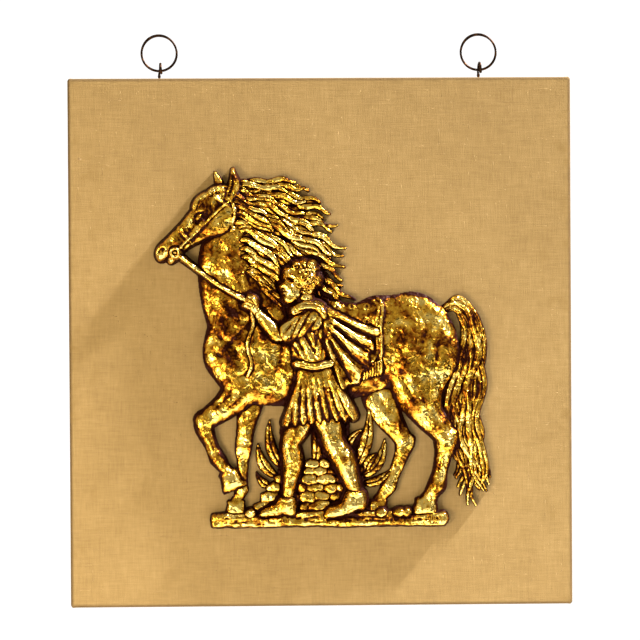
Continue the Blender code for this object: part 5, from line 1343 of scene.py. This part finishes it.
class Finish(Tree):
    """A material built of nodes round one Principled shader."""

    def __init__(self, name, uv_map=None, **sockets):
        self.material = bpy.data.materials.get(name) or bpy.data.materials.new(name)
        self.material.use_nodes = True
        super().__init__(self.material.node_tree)
        self.nodes.clear()
        self.shader = self.nodes.new("ShaderNodeBsdfPrincipled")
        out = self.nodes.new("ShaderNodeOutputMaterial")
        self.links.new(self.shader.outputs[0], out.inputs[0])
        self.set(**sockets)
        if uv_map:
            self.start = self.node("ShaderNodeUVMap", {"uv_map": uv_map})
        else:
            self.start = self.node("ShaderNodeTexCoord", output="Object")

    def set(self, **sockets):
        for label, value in sockets.items():
            self.feed(value, self.shader.inputs[label.replace("_", " ")])

    def place(self, *stretch):
        """The place on the piece, or on its own map, stretched along each axis."""
        return self.node("ShaderNodeMapping", Vector=self.start, Scale=stretch or (1, 1, 1))

    def noise(self, where, scale, detail, rough, warp=0.0):
        return self.node("ShaderNodeTexNoise", Vector=where, Scale=scale, Detail=detail, Roughness=rough,
                         Distortion=warp)

    def mix(self, share, first, second):
        made = self.nodes.new("ShaderNodeMix")
        made.data_type = "RGBA"
        self.feed(share, made.inputs[0])
        self.feed(first, made.inputs[6])
        self.feed((*second, 1), made.inputs[7])
        return Value(self, made.outputs[2])

    def bump(self, height, depth, strength, under=None):
        more = {} if under is None else {"Normal": under}
        return self.node("ShaderNodeBump", Strength=strength, Distance=depth, Height=height, **more)

    def end(self, **sockets):
        self.set(**sockets)
        return self.material


class Recipe(Tree):
    """A Geometry Nodes tree, with a named input for each of its sizes."""

    def __init__(self, name, sizes):
        self.group = bpy.data.node_groups.new(name, "GeometryNodeTree")
        super().__init__(self.group)
        face = self.group.interface
        face.new_socket("Geometry", in_out="INPUT", socket_type="NodeSocketGeometry")
        self.keys = {}
        for label, value in sizes.items():
            kind = "NodeSocketInt" if isinstance(value, int) else "NodeSocketFloat"
            socket = face.new_socket(label, in_out="INPUT", socket_type=kind)
            socket.default_value = value
            self.keys[socket.identifier] = value
        face.new_socket("Geometry", in_out="OUTPUT", socket_type="NodeSocketGeometry")
        made = self.nodes.new("NodeGroupInput")
        self.given = {socket.name: Value(self, socket) for socket in made.outputs if socket.name}

    def random(self, low, high, number):
        """A random value for each point, between two numbers or two of the recipe's sizes."""
        return self.node("FunctionNodeRandomValue", {"data_type": "FLOAT"}, Min=low, Max=high, Seed=number)

    def make(self, name, mesh, laid, material):
        """What the recipe lays on this mesh, as a plain mesh in its own finish."""
        real = self.node("GeometryNodeRealizeInstances", Geometry=laid)
        painted = self.node("GeometryNodeSetMaterial", Geometry=real, Material=material)
        end = self.nodes.new("NodeGroupOutput")
        self.feed(painted, end.inputs[0])
        obj = link(name, mesh)
        worker = obj.modifiers.new(self.group.name, "NODES")
        worker.node_group = self.group
        for key, value in self.keys.items():
            worker[key] = value
        finish_mesh(obj)
        obj.data.shade_smooth()
        return obj


FACING_FRONT = -0.985


def linen_slubs(cloth, finish):
    """The thick places in the linen's threads, which lie proud of the front along and across it."""
    recipe = Recipe("Slubs in the linen", {
        "Slubs per square metre": 4200.0, "Shortest": 0.0040, "Longest": 0.0190, "Thinnest": 0.00022,
        "Thickest": 0.00040, "Proud": 0.00003, "Lean": 0.030})
    given = recipe.given
    facing = recipe.split(recipe.node("GeometryNodeInputNormal"))
    place = recipe.split(recipe.node("GeometryNodeInputPosition"))
    front = recipe.sum("LESS_THAN", facing[1], FACING_FRONT)
    for across, middle, half in ((place[0], 0.0, HALF_WIDTH), (place[2], CENTRE_Z, HALF_HEIGHT)):
        room = recipe.sum("SUBTRACT", half, given["Longest"] * 0.55)
        front = front * recipe.sum("LESS_THAN", abs(across - middle), room)
    spots = recipe.node("GeometryNodeDistributePointsOnFaces", {"distribute_method": "RANDOM"},
                        Mesh=given["Geometry"], Selection=front, Seed=8,
                        Density=given["Slubs per square metre"])
    ball = recipe.node("GeometryNodeMeshUVSphere", Segments=6, Rings=6, Radius=1.0)
    long = recipe.random(given["Shortest"], given["Longest"], 1) * recipe.random(0.35, 1.0, 2) * 0.5
    wide = recipe.random(given["Thinnest"], given["Thickest"], 3)
    upright = recipe.sum("GREATER_THAN", recipe.random(0.0, 1.0, 4), 0.5)
    turn = upright * (0.5 * math.pi) + recipe.random(-1.0, 1.0, 5) * given["Lean"]
    size = recipe.triple(long, given["Proud"], wide)
    laid = recipe.node("GeometryNodeInstanceOnPoints", Points=spots, Instance=ball,
                       Rotation=recipe.triple(0.0, turn, 0.0), Scale=size)
    return recipe.make("linen_slubs", cloth.copy(), laid, finish)


def hem_line(inset, depth, margin, count):
    """Points along the four hems on the back, each with the direction to the middle of the board."""
    points, ways = [], []
    half_x, half_z = HALF_WIDTH - inset, HALF_HEIGHT - inset
    corners = [(-half_x, -half_z), (half_x, -half_z), (half_x, half_z), (-half_x, half_z)]
    inward = ((0, 0, 1), (-1, 0, 0), (0, 0, -1), (1, 0, 0))
    for start, end, way in zip(corners, corners[1:] + corners[:1], inward):
        for share in np.linspace(margin, 1 - margin, count):
            x, z = between(start, end, share)
            points.append((x, depth, z + CENTRE_Z))
            ways.append(way)
    mesh = bpy.data.meshes.new("hem_line")
    mesh.from_pydata(points, [(i, i + 1) for i in range(len(points) - 1)], [])
    field = mesh.attributes.new("inward", "FLOAT_VECTOR", "POINT")
    field.data.foreach_set("vector", np.array(ways, np.float32).ravel())
    return mesh


def inward_way(recipe):
    return recipe.node("GeometryNodeInputNamedAttribute", {"data_type": "FLOAT_VECTOR"}, Name="inward")


def frayed_ends(finish):
    """The loose ends of the threads along the cut edges of the hems."""
    recipe = Recipe("Frayed ends of the hems", {
        "Ends": 1500, "Shortest": 0.0018, "Longest": 0.0042, "Thread": 0.00016, "Spread": 0.30})
    given = recipe.given
    run = recipe.node("GeometryNodeMeshToCurve", Mesh=given["Geometry"])
    roots = recipe.node("GeometryNodeCurveToPoints", {"mode": "COUNT"}, Curve=run, Count=given["Ends"])
    end = recipe.node("GeometryNodeMeshCone", Vertices=5, Side_Segments=1, Radius_Top=0.45,
                      Radius_Bottom=1.0, Depth=1.0)
    stray = [recipe.random(-1.0, 1.0, k) * given["Spread"] for k in (11, 12)]
    jitter = recipe.triple(stray[0], recipe.random(-1.0, 0.25, 13) * 0.12, stray[1])
    lie = recipe.sum("ADD", inward_way(recipe), jitter, kind="ShaderNodeVectorMath")
    aim = recipe.node("FunctionNodeAlignRotationToVector", {"axis": "Z"}, Vector=lie)
    long = recipe.random(given["Shortest"], given["Longest"], 14)
    laid = recipe.node("GeometryNodeInstanceOnPoints", Points=roots, Instance=end, Rotation=aim,
                       Scale=recipe.triple(given["Thread"], given["Thread"], long))
    line = hem_line(HEM_WIDTH, -0.5 * LINEN_THICK, 0.004, 60)
    return recipe.make("frayed_ends", line, laid, finish)


STAPLE_WIRE = 0.00042
STAPLES_PER_SIDE = 9


def staple_shape():
    """One staple: a flattened crown, with its two legs turned down into the board."""
    half, bend, leg = 0.0052, 0.0006, 0.0045
    turns = [0.5 * math.pi * k / 3 for k in range(4)]
    left = [(-half - bend * math.sin(a), -bend * (1 - math.cos(a)), 0.0) for a in turns]
    left = [(-half - bend, -leg, 0.0)] + left[::-1]
    path = left + [(-x, y, z) for x, y, z in left[::-1]]
    return wire_mesh("staple", path, [STAPLE_WIRE] * len(path), 6)


def hem_staples(finish):
    """The staples that hold the hems to the back of the board, a little out of line as they were driven."""
    recipe = Recipe("Staples along the hems", {"Out of line": 0.0009, "Askew": 0.07})
    given = recipe.given
    driven = link("staple", staple_shape())
    one = recipe.node("GeometryNodeObjectInfo", output="Geometry", Object=driven)
    upright = abs(recipe.split(inward_way(recipe))[0]) * (0.5 * math.pi)
    turn = upright + recipe.random(-1.0, 1.0, 21) * given["Askew"]
    shift = [recipe.random(-1.0, 1.0, k) * given["Out of line"] for k in (22, 23)]
    moved = recipe.node("GeometryNodeSetPosition", Geometry=given["Geometry"],
                        Offset=recipe.triple(shift[0], 0.0, shift[1]))
    laid = recipe.node("GeometryNodeInstanceOnPoints", Points=moved, Instance=one,
                       Rotation=recipe.triple(0.0, turn, 0.0))
    line = hem_line(0.62 * HEM_WIDTH, 0.00005, 0.045, STAPLES_PER_SIDE)
    made = recipe.make("hem_staples", line, laid, finish)
    bpy.data.objects.remove(driven)
    return made


BRIGHT_BRASS = (1.0, 0.71, 0.19)
OLD_BRASS = (0.90, 0.50, 0.044)
BROWN_BRASS = (0.30, 0.088, 0.006)
DARK_WAX = (0.028, 0.0038, 0.0009)


def antique_brass():
    """Brass with dark wax left in the recesses and in its pits, rubbed bright on the high places."""
    f = Finish("antique_brass", Specular_IOR_Level=0.12)
    wax, rub = [f.node("ShaderNodeAttribute", {"attribute_name": name}, "Fac") for name in ("wax", "rub")]
    here = f.place()
    broad = f.noise(here, 48, 3, 0.55, 0.3)
    blotches = f.noise(here, 130, 4, 0.66, 0.5)
    specks = f.noise(here, 520, 3, 0.6)
    cloud = (blotches - 0.5) * 1.7 + (broad - 0.5) * 2.4 + (specks - 0.5) * 0.3
    pits = f.band(specks, 0.58, 0.66) * f.band(blotches, 0.50, 0.60)
    kept = wax + cloud - rub * 0.38 + pits * 0.55
    colour = f.ramp(f.band(kept, -0.5, 1.0), [
        (0.0, BRIGHT_BRASS), (0.22, OLD_BRASS), (0.46, BROWN_BRASS), (0.62, DARK_WAX)])
    grain = f.bump(specks, 0.00022, 0.3)
    dents = f.bump(broad, 0.0075, 0.9, grain)
    return f.end(Base_Color=colour, Roughness=f.band(kept, -0.2, 0.8, 0.20, 0.50),
                 Metallic=f.band(kept, 0.35, 0.85, 1.0, 0.35), Normal=f.bump(blotches, 0.0013, 0.6, dents))


LINEN_SHADES = ((0.318, 0.192, 0.066), (0.405, 0.250, 0.088), (0.487, 0.309, 0.118))
# The dark colour laid in a band along the folded edges of the cloth is painted shade.
LINEN_FOLD_SHADE = (0.115, 0.062, 0.022)
LINEN_STAIN = (0.30, 0.175, 0.050)
THREAD_PITCHES = (("X", 0.00078), ("Y", 0.00074))
# Width and inset of the band of painted shade along the folded edges.
FOLD_SHADE_WIDTH = 0.0028
FOLD_SHADE_INSET = 0.0010
STAIN_REACH = 0.042


def tan_linen(name, level):
    """Plain-woven linen, uneven threads both ways in the lie of the cloth, painted shade on its folded
    edges.
    """
    f = Finish(name, "cloth", Roughness=0.9, Sheen_Weight=0.10, Sheen_Roughness=0.5, Specular_IOR_Level=0.2)
    cloth = f.place()

    def both_ways(slow, fast, rough):
        ways = (slow, fast, 1), (fast, slow, 1)
        return f.sum("ADD", *[f.noise(f.place(*way), 1.0, 2, rough) for way in ways])

    threads = both_ways(70, 1300, 0.6) + both_ways(22, 700, 0.5) * 0.5
    patches = f.noise(cloth, 55.0, 4, 0.65)
    broad = f.noise(cloth, 7.0, 2, 0.6)
    tone = threads * 0.50 + patches * 0.42 + both_ways(46, 380, 0.5) * 0.40 + broad * 0.55
    shades = [[level * c for c in shade] for shade in LINEN_SHADES]
    colour = f.ramp(f.band(tone, 1.27, 2.07), list(zip((0.0, 0.5, 1.0), shades)))
    x, z, _ = f.split(cloth)
    # Painted shade: the cloth darkened in a narrow band along each folded edge of the board.
    fold_shade_bands = [f.band(abs(abs(across) - (half - FOLD_SHADE_INSET)), 0.0, FOLD_SHADE_WIDTH, 0.88, 0.0)
             for across, half in ((x, HALF_WIDTH), (z, HALF_HEIGHT))]
    colour = f.mix(f.sum("MAXIMUM", *fold_shade_bands), colour, LINEN_FOLD_SHADE)
    near_side = f.band(abs(x), HALF_WIDTH - STAIN_REACH, HALF_WIDTH - 0.25 * STAIN_REACH)
    stains = f.band(f.noise(cloth, 38.0, 3, 0.55), 0.56, 0.70, 0.0, 0.50) * near_side
    colour = f.mix(stains, colour, LINEN_STAIN)
    over, under = [f.node("ShaderNodeTexWave", {"bands_direction": axis}, "Fac", Vector=cloth,
                          Scale=0.5 / pitch, Distortion=0.25, Detail=0.0) for axis, pitch in THREAD_PITCHES]
    weave = f.bump(over * under, 0.00012, 0.45)
    return f.end(Base_Color=colour, Normal=f.bump(threads, 0.00026, 0.5, weave))


def dark_iron():
    """Blackened iron wire, brown where the blacking has worn."""
    f = Finish("dark_iron", Metallic=0.9)
    spots = f.noise(f.place(), 900, 2, 0.5)
    tone = f.noise(f.place(), 260, 4, 0.6) * 0.7 + spots * 0.3
    colour = f.ramp(f.band(tone, 0.36, 0.70), [
        (0.0, (0.012, 0.006, 0.004)), (0.5, (0.035, 0.015, 0.007)), (1.0, (0.20, 0.080, 0.020))])
    rough = f.band(tone, 0.35, 0.7, 0.30, 0.52)
    return f.end(Base_Color=colour, Roughness=rough, Normal=f.bump(spots, 0.00008, 0.5))


HEART_PLACE = (0.03, -0.055)
RINGS_PER_METRE = 240.0


def pine_board():
    """Sawn softwood: growth rings stretched along the board, pores and the saw's marks."""
    f = Finish("pine_board", Specular_IOR_Level=0.3)
    x, y, _ = f.split(f.place())
    radius = f.sum("SQRT", abs(x - HEART_PLACE[0]) ** 2.0 + (y - HEART_PLACE[1]) ** 2.0)
    bow = f.noise(f.place(5, 5, 1.7), 1.0, 2, 0.5) * 0.075
    waver = f.noise(f.place(60, 60, 7), 1.0, 2, 0.5) * 0.0030
    rings = f.sum("FRACT", (radius + (bow + waver)) * RINGS_PER_METRE)
    late = rings ** 2.6 * f.band(rings, 1.0, 0.93)
    fibres = f.noise(f.place(900, 900, 16), 1.0, 3, 0.6)
    tone = late * 0.40 + fibres * 0.36 + f.noise(f.place(7, 7, 1.6), 1.0, 3, 0.5) * 0.40
    colour = f.ramp(f.band(tone, 0.2, 0.85), [
        (0.0, (0.68, 0.49, 0.28)), (0.5, (0.60, 0.40, 0.20)), (1.0, (0.42, 0.23, 0.09))])
    saw = f.noise(f.place(30, 30, 520), 1.0, 2, 0.5)
    normal = f.bump(saw, 0.0002, 0.4, f.bump(fibres, 0.0003, 0.5))
    return f.end(Base_Color=colour, Roughness=f.band(fibres, 0.3, 0.7, 0.55, 0.74), Normal=normal)


def staple_steel():
    """Plain drawn steel, dulled here and there."""
    f = Finish("staple_steel", Metallic=1.0)
    dull = f.noise(f.place(), 420, 3, 0.6)
    colour = f.ramp(f.band(dull, 0.35, 0.7), [(0.0, (0.56, 0.55, 0.53)), (1.0, (0.36, 0.34, 0.31))])
    return f.end(Base_Color=colour, Roughness=f.band(dull, 0.3, 0.7, 0.24, 0.46))


def pale_floor():
    """A plain pale floor with the faintest unevenness."""
    f = Finish("pale_floor", Roughness=0.7)
    uneven = f.noise(f.place(), 5.0, 3, 0.5)
    return f.end(Base_Color=f.ramp(uneven, [(0.3, (0.80, 0.79, 0.77)), (0.7, (0.84, 0.83, 0.81))]))


CAMERA_AIM = Vector((-0.00066, -0.020, -0.22463))
CAMERA_AZIMUTH, CAMERA_ELEVATION, CAMERA_ROLL = [math.radians(a) for a in (-1.082, 0.615, -0.338)]
CAMERA_FAR = 2.1557
CAMERA_LENS = 120.0


def add_camera():
    """The camera in front of the plaque, a hair to its left and above it, and slightly rolled."""
    level = Vector((math.cos(CAMERA_AZIMUTH), math.sin(CAMERA_AZIMUTH), 0))
    back = math.cos(CAMERA_ELEVATION) * Vector((level.y, -level.x, 0))
    back.z = math.sin(CAMERA_ELEVATION)
    upright = back.cross(level)
    c, s = math.cos(CAMERA_ROLL), math.sin(CAMERA_ROLL)
    lens = bpy.data.cameras.new("camera")
    lens.lens = CAMERA_LENS
    lens.sensor_width = 36.0
    lens.clip_start = 0.05
    camera = link("camera", lens)
    placed = Matrix((c * level + s * upright, c * upright - s * level, back)).transposed().to_4x4()
    placed.translation = CAMERA_AIM + CAMERA_FAR * back
    camera.matrix_world = placed
    bpy.context.scene.camera = camera


def add_light(name, place, size, power, colour=(1, 1, 1)):
    """A rectangular lamp that points at the middle of the plaque."""
    lamp = bpy.data.lights.new(name, "AREA")
    lamp.shape = "RECTANGLE"
    lamp.size, lamp.size_y = size
    lamp.energy = power
    lamp.color = colour
    light = link(name, lamp)
    light.location = place
    light.rotation_euler = (LIGHT_AIM - Vector(place)).to_track_quat("-Z", "Y").to_euler()
    light.visible_camera = False


LIGHT_AIM = Vector((0, -0.02, CENTRE_Z))
KEY_WAY = Vector((0.637, -0.108, 0.764))
WARM_WHITE = (1.0, 0.91, 0.68)


def add_lights():
    add_light("key", LIGHT_AIM + 3.0 * KEY_WAY, (0.20, 0.20), 335, (0.96, 1.0, 1.06))
    add_light("front", (-0.85, -1.0, -0.70), (0.5, 0.5), 14.8, WARM_WHITE)
    add_light("side", (1.7, -1.2, 0.1), (0.4, 1.0), 3)
    add_light("behind", (0.8, 1.8, 0.5), (0.8, 0.8), 20)


FLOOR_HALF = 0.85
FLOOR_DROP = 0.26


def add_floor(finish):
    bm = bmesh.new()
    bmesh.ops.create_grid(bm, x_segments=24, y_segments=24, size=FLOOR_HALF)
    mesh = bpy.data.meshes.new("floor")
    bm.to_mesh(mesh)
    bm.free()
    mesh.transform(Matrix.Translation((0, 0, LINEN_LOW.z - FLOOR_DROP)))
    paint(link("floor", mesh), finish)


ROOM_LEVELS = ((0.30, 0.008), (0.44, 0.09), (0.50, 0.56), (0.60, 0.54), (1.0, 0.28))
ROOM_LEFT, ROOM_RIGHT = 1.45, 0.40


def add_world():
    """A white surround for the camera; for light and mirrored looks a room dark below and bright above."""
    world = bpy.data.worlds.new("studio")
    bpy.context.scene.world = world
    world.use_nodes = True
    t = Tree(world.node_tree)
    t.nodes.clear()
    across, _, height = t.split(t.node("ShaderNodeTexCoord", output="Generated"))
    room = t.ramp(t.band(height, -1.0, 1.0), [
        (at, [shade * c for c in WARM_WHITE]) for at, shade in ROOM_LEVELS])
    around = t.node("ShaderNodeBackground", Color=room,
                    Strength=t.band(across, -1.0, 1.0, ROOM_LEFT, ROOM_RIGHT))
    white = t.node("ShaderNodeBackground", Color=(1, 1, 1, 1), Strength=1.1)
    seen = t.node("ShaderNodeLightPath", output="Is Camera Ray")
    mix, out = t.nodes.new("ShaderNodeMixShader"), t.nodes.new("ShaderNodeOutputWorld")
    for value, socket in zip((seen, around, white), mix.inputs):
        t.feed(value, socket)
    t.links.new(mix.outputs[0], out.inputs[0])


def paint(obj, finish):
    obj.data.materials.clear()
    obj.data.materials.append(finish)
    return obj


def main():
    brass, iron, loose = antique_brass(), dark_iron(), tan_linen("linen_threads", 0.99)
    cloth = paint(link("linen", linen_mesh()), tan_linen("tan_linen", 1.0))
    slubs = linen_slubs(cloth.data, loose)
    ends = frayed_ends(loose)
    staples = hem_staples(staple_steel())
    casting = paint(horse_casting(), brass)
    for side in ("left", "right"):
        eye = paint(link("eye_" + side, screw_eye_mesh("screw_eye_" + side)), iron)
        ring = paint(link("hanging_ring_" + side, ring_mesh("ring_" + side)), iron)
        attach(eye, "plaque")
        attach(ring, side + "_ring")
        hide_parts("screw_eye_" + side)
        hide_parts("ring_" + side)
    for piece, slot in ((cloth, "linen"), (slubs, "linen"), (ends, "linen"), (staples, "hangers"),
                        (casting, "casting")):
        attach(piece, "plaque")
    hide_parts("horse_relief")
    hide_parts("linen_cover")
    pine = pine_board()
    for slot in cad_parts["panel"].material_slots:
        slot.material = pine
    add_floor(pale_floor())
    add_lights()
    add_world()
    add_camera()
    bpy.context.scene.view_settings.view_transform = "Standard"
    bpy.context.scene.view_settings.look = "None"


main()
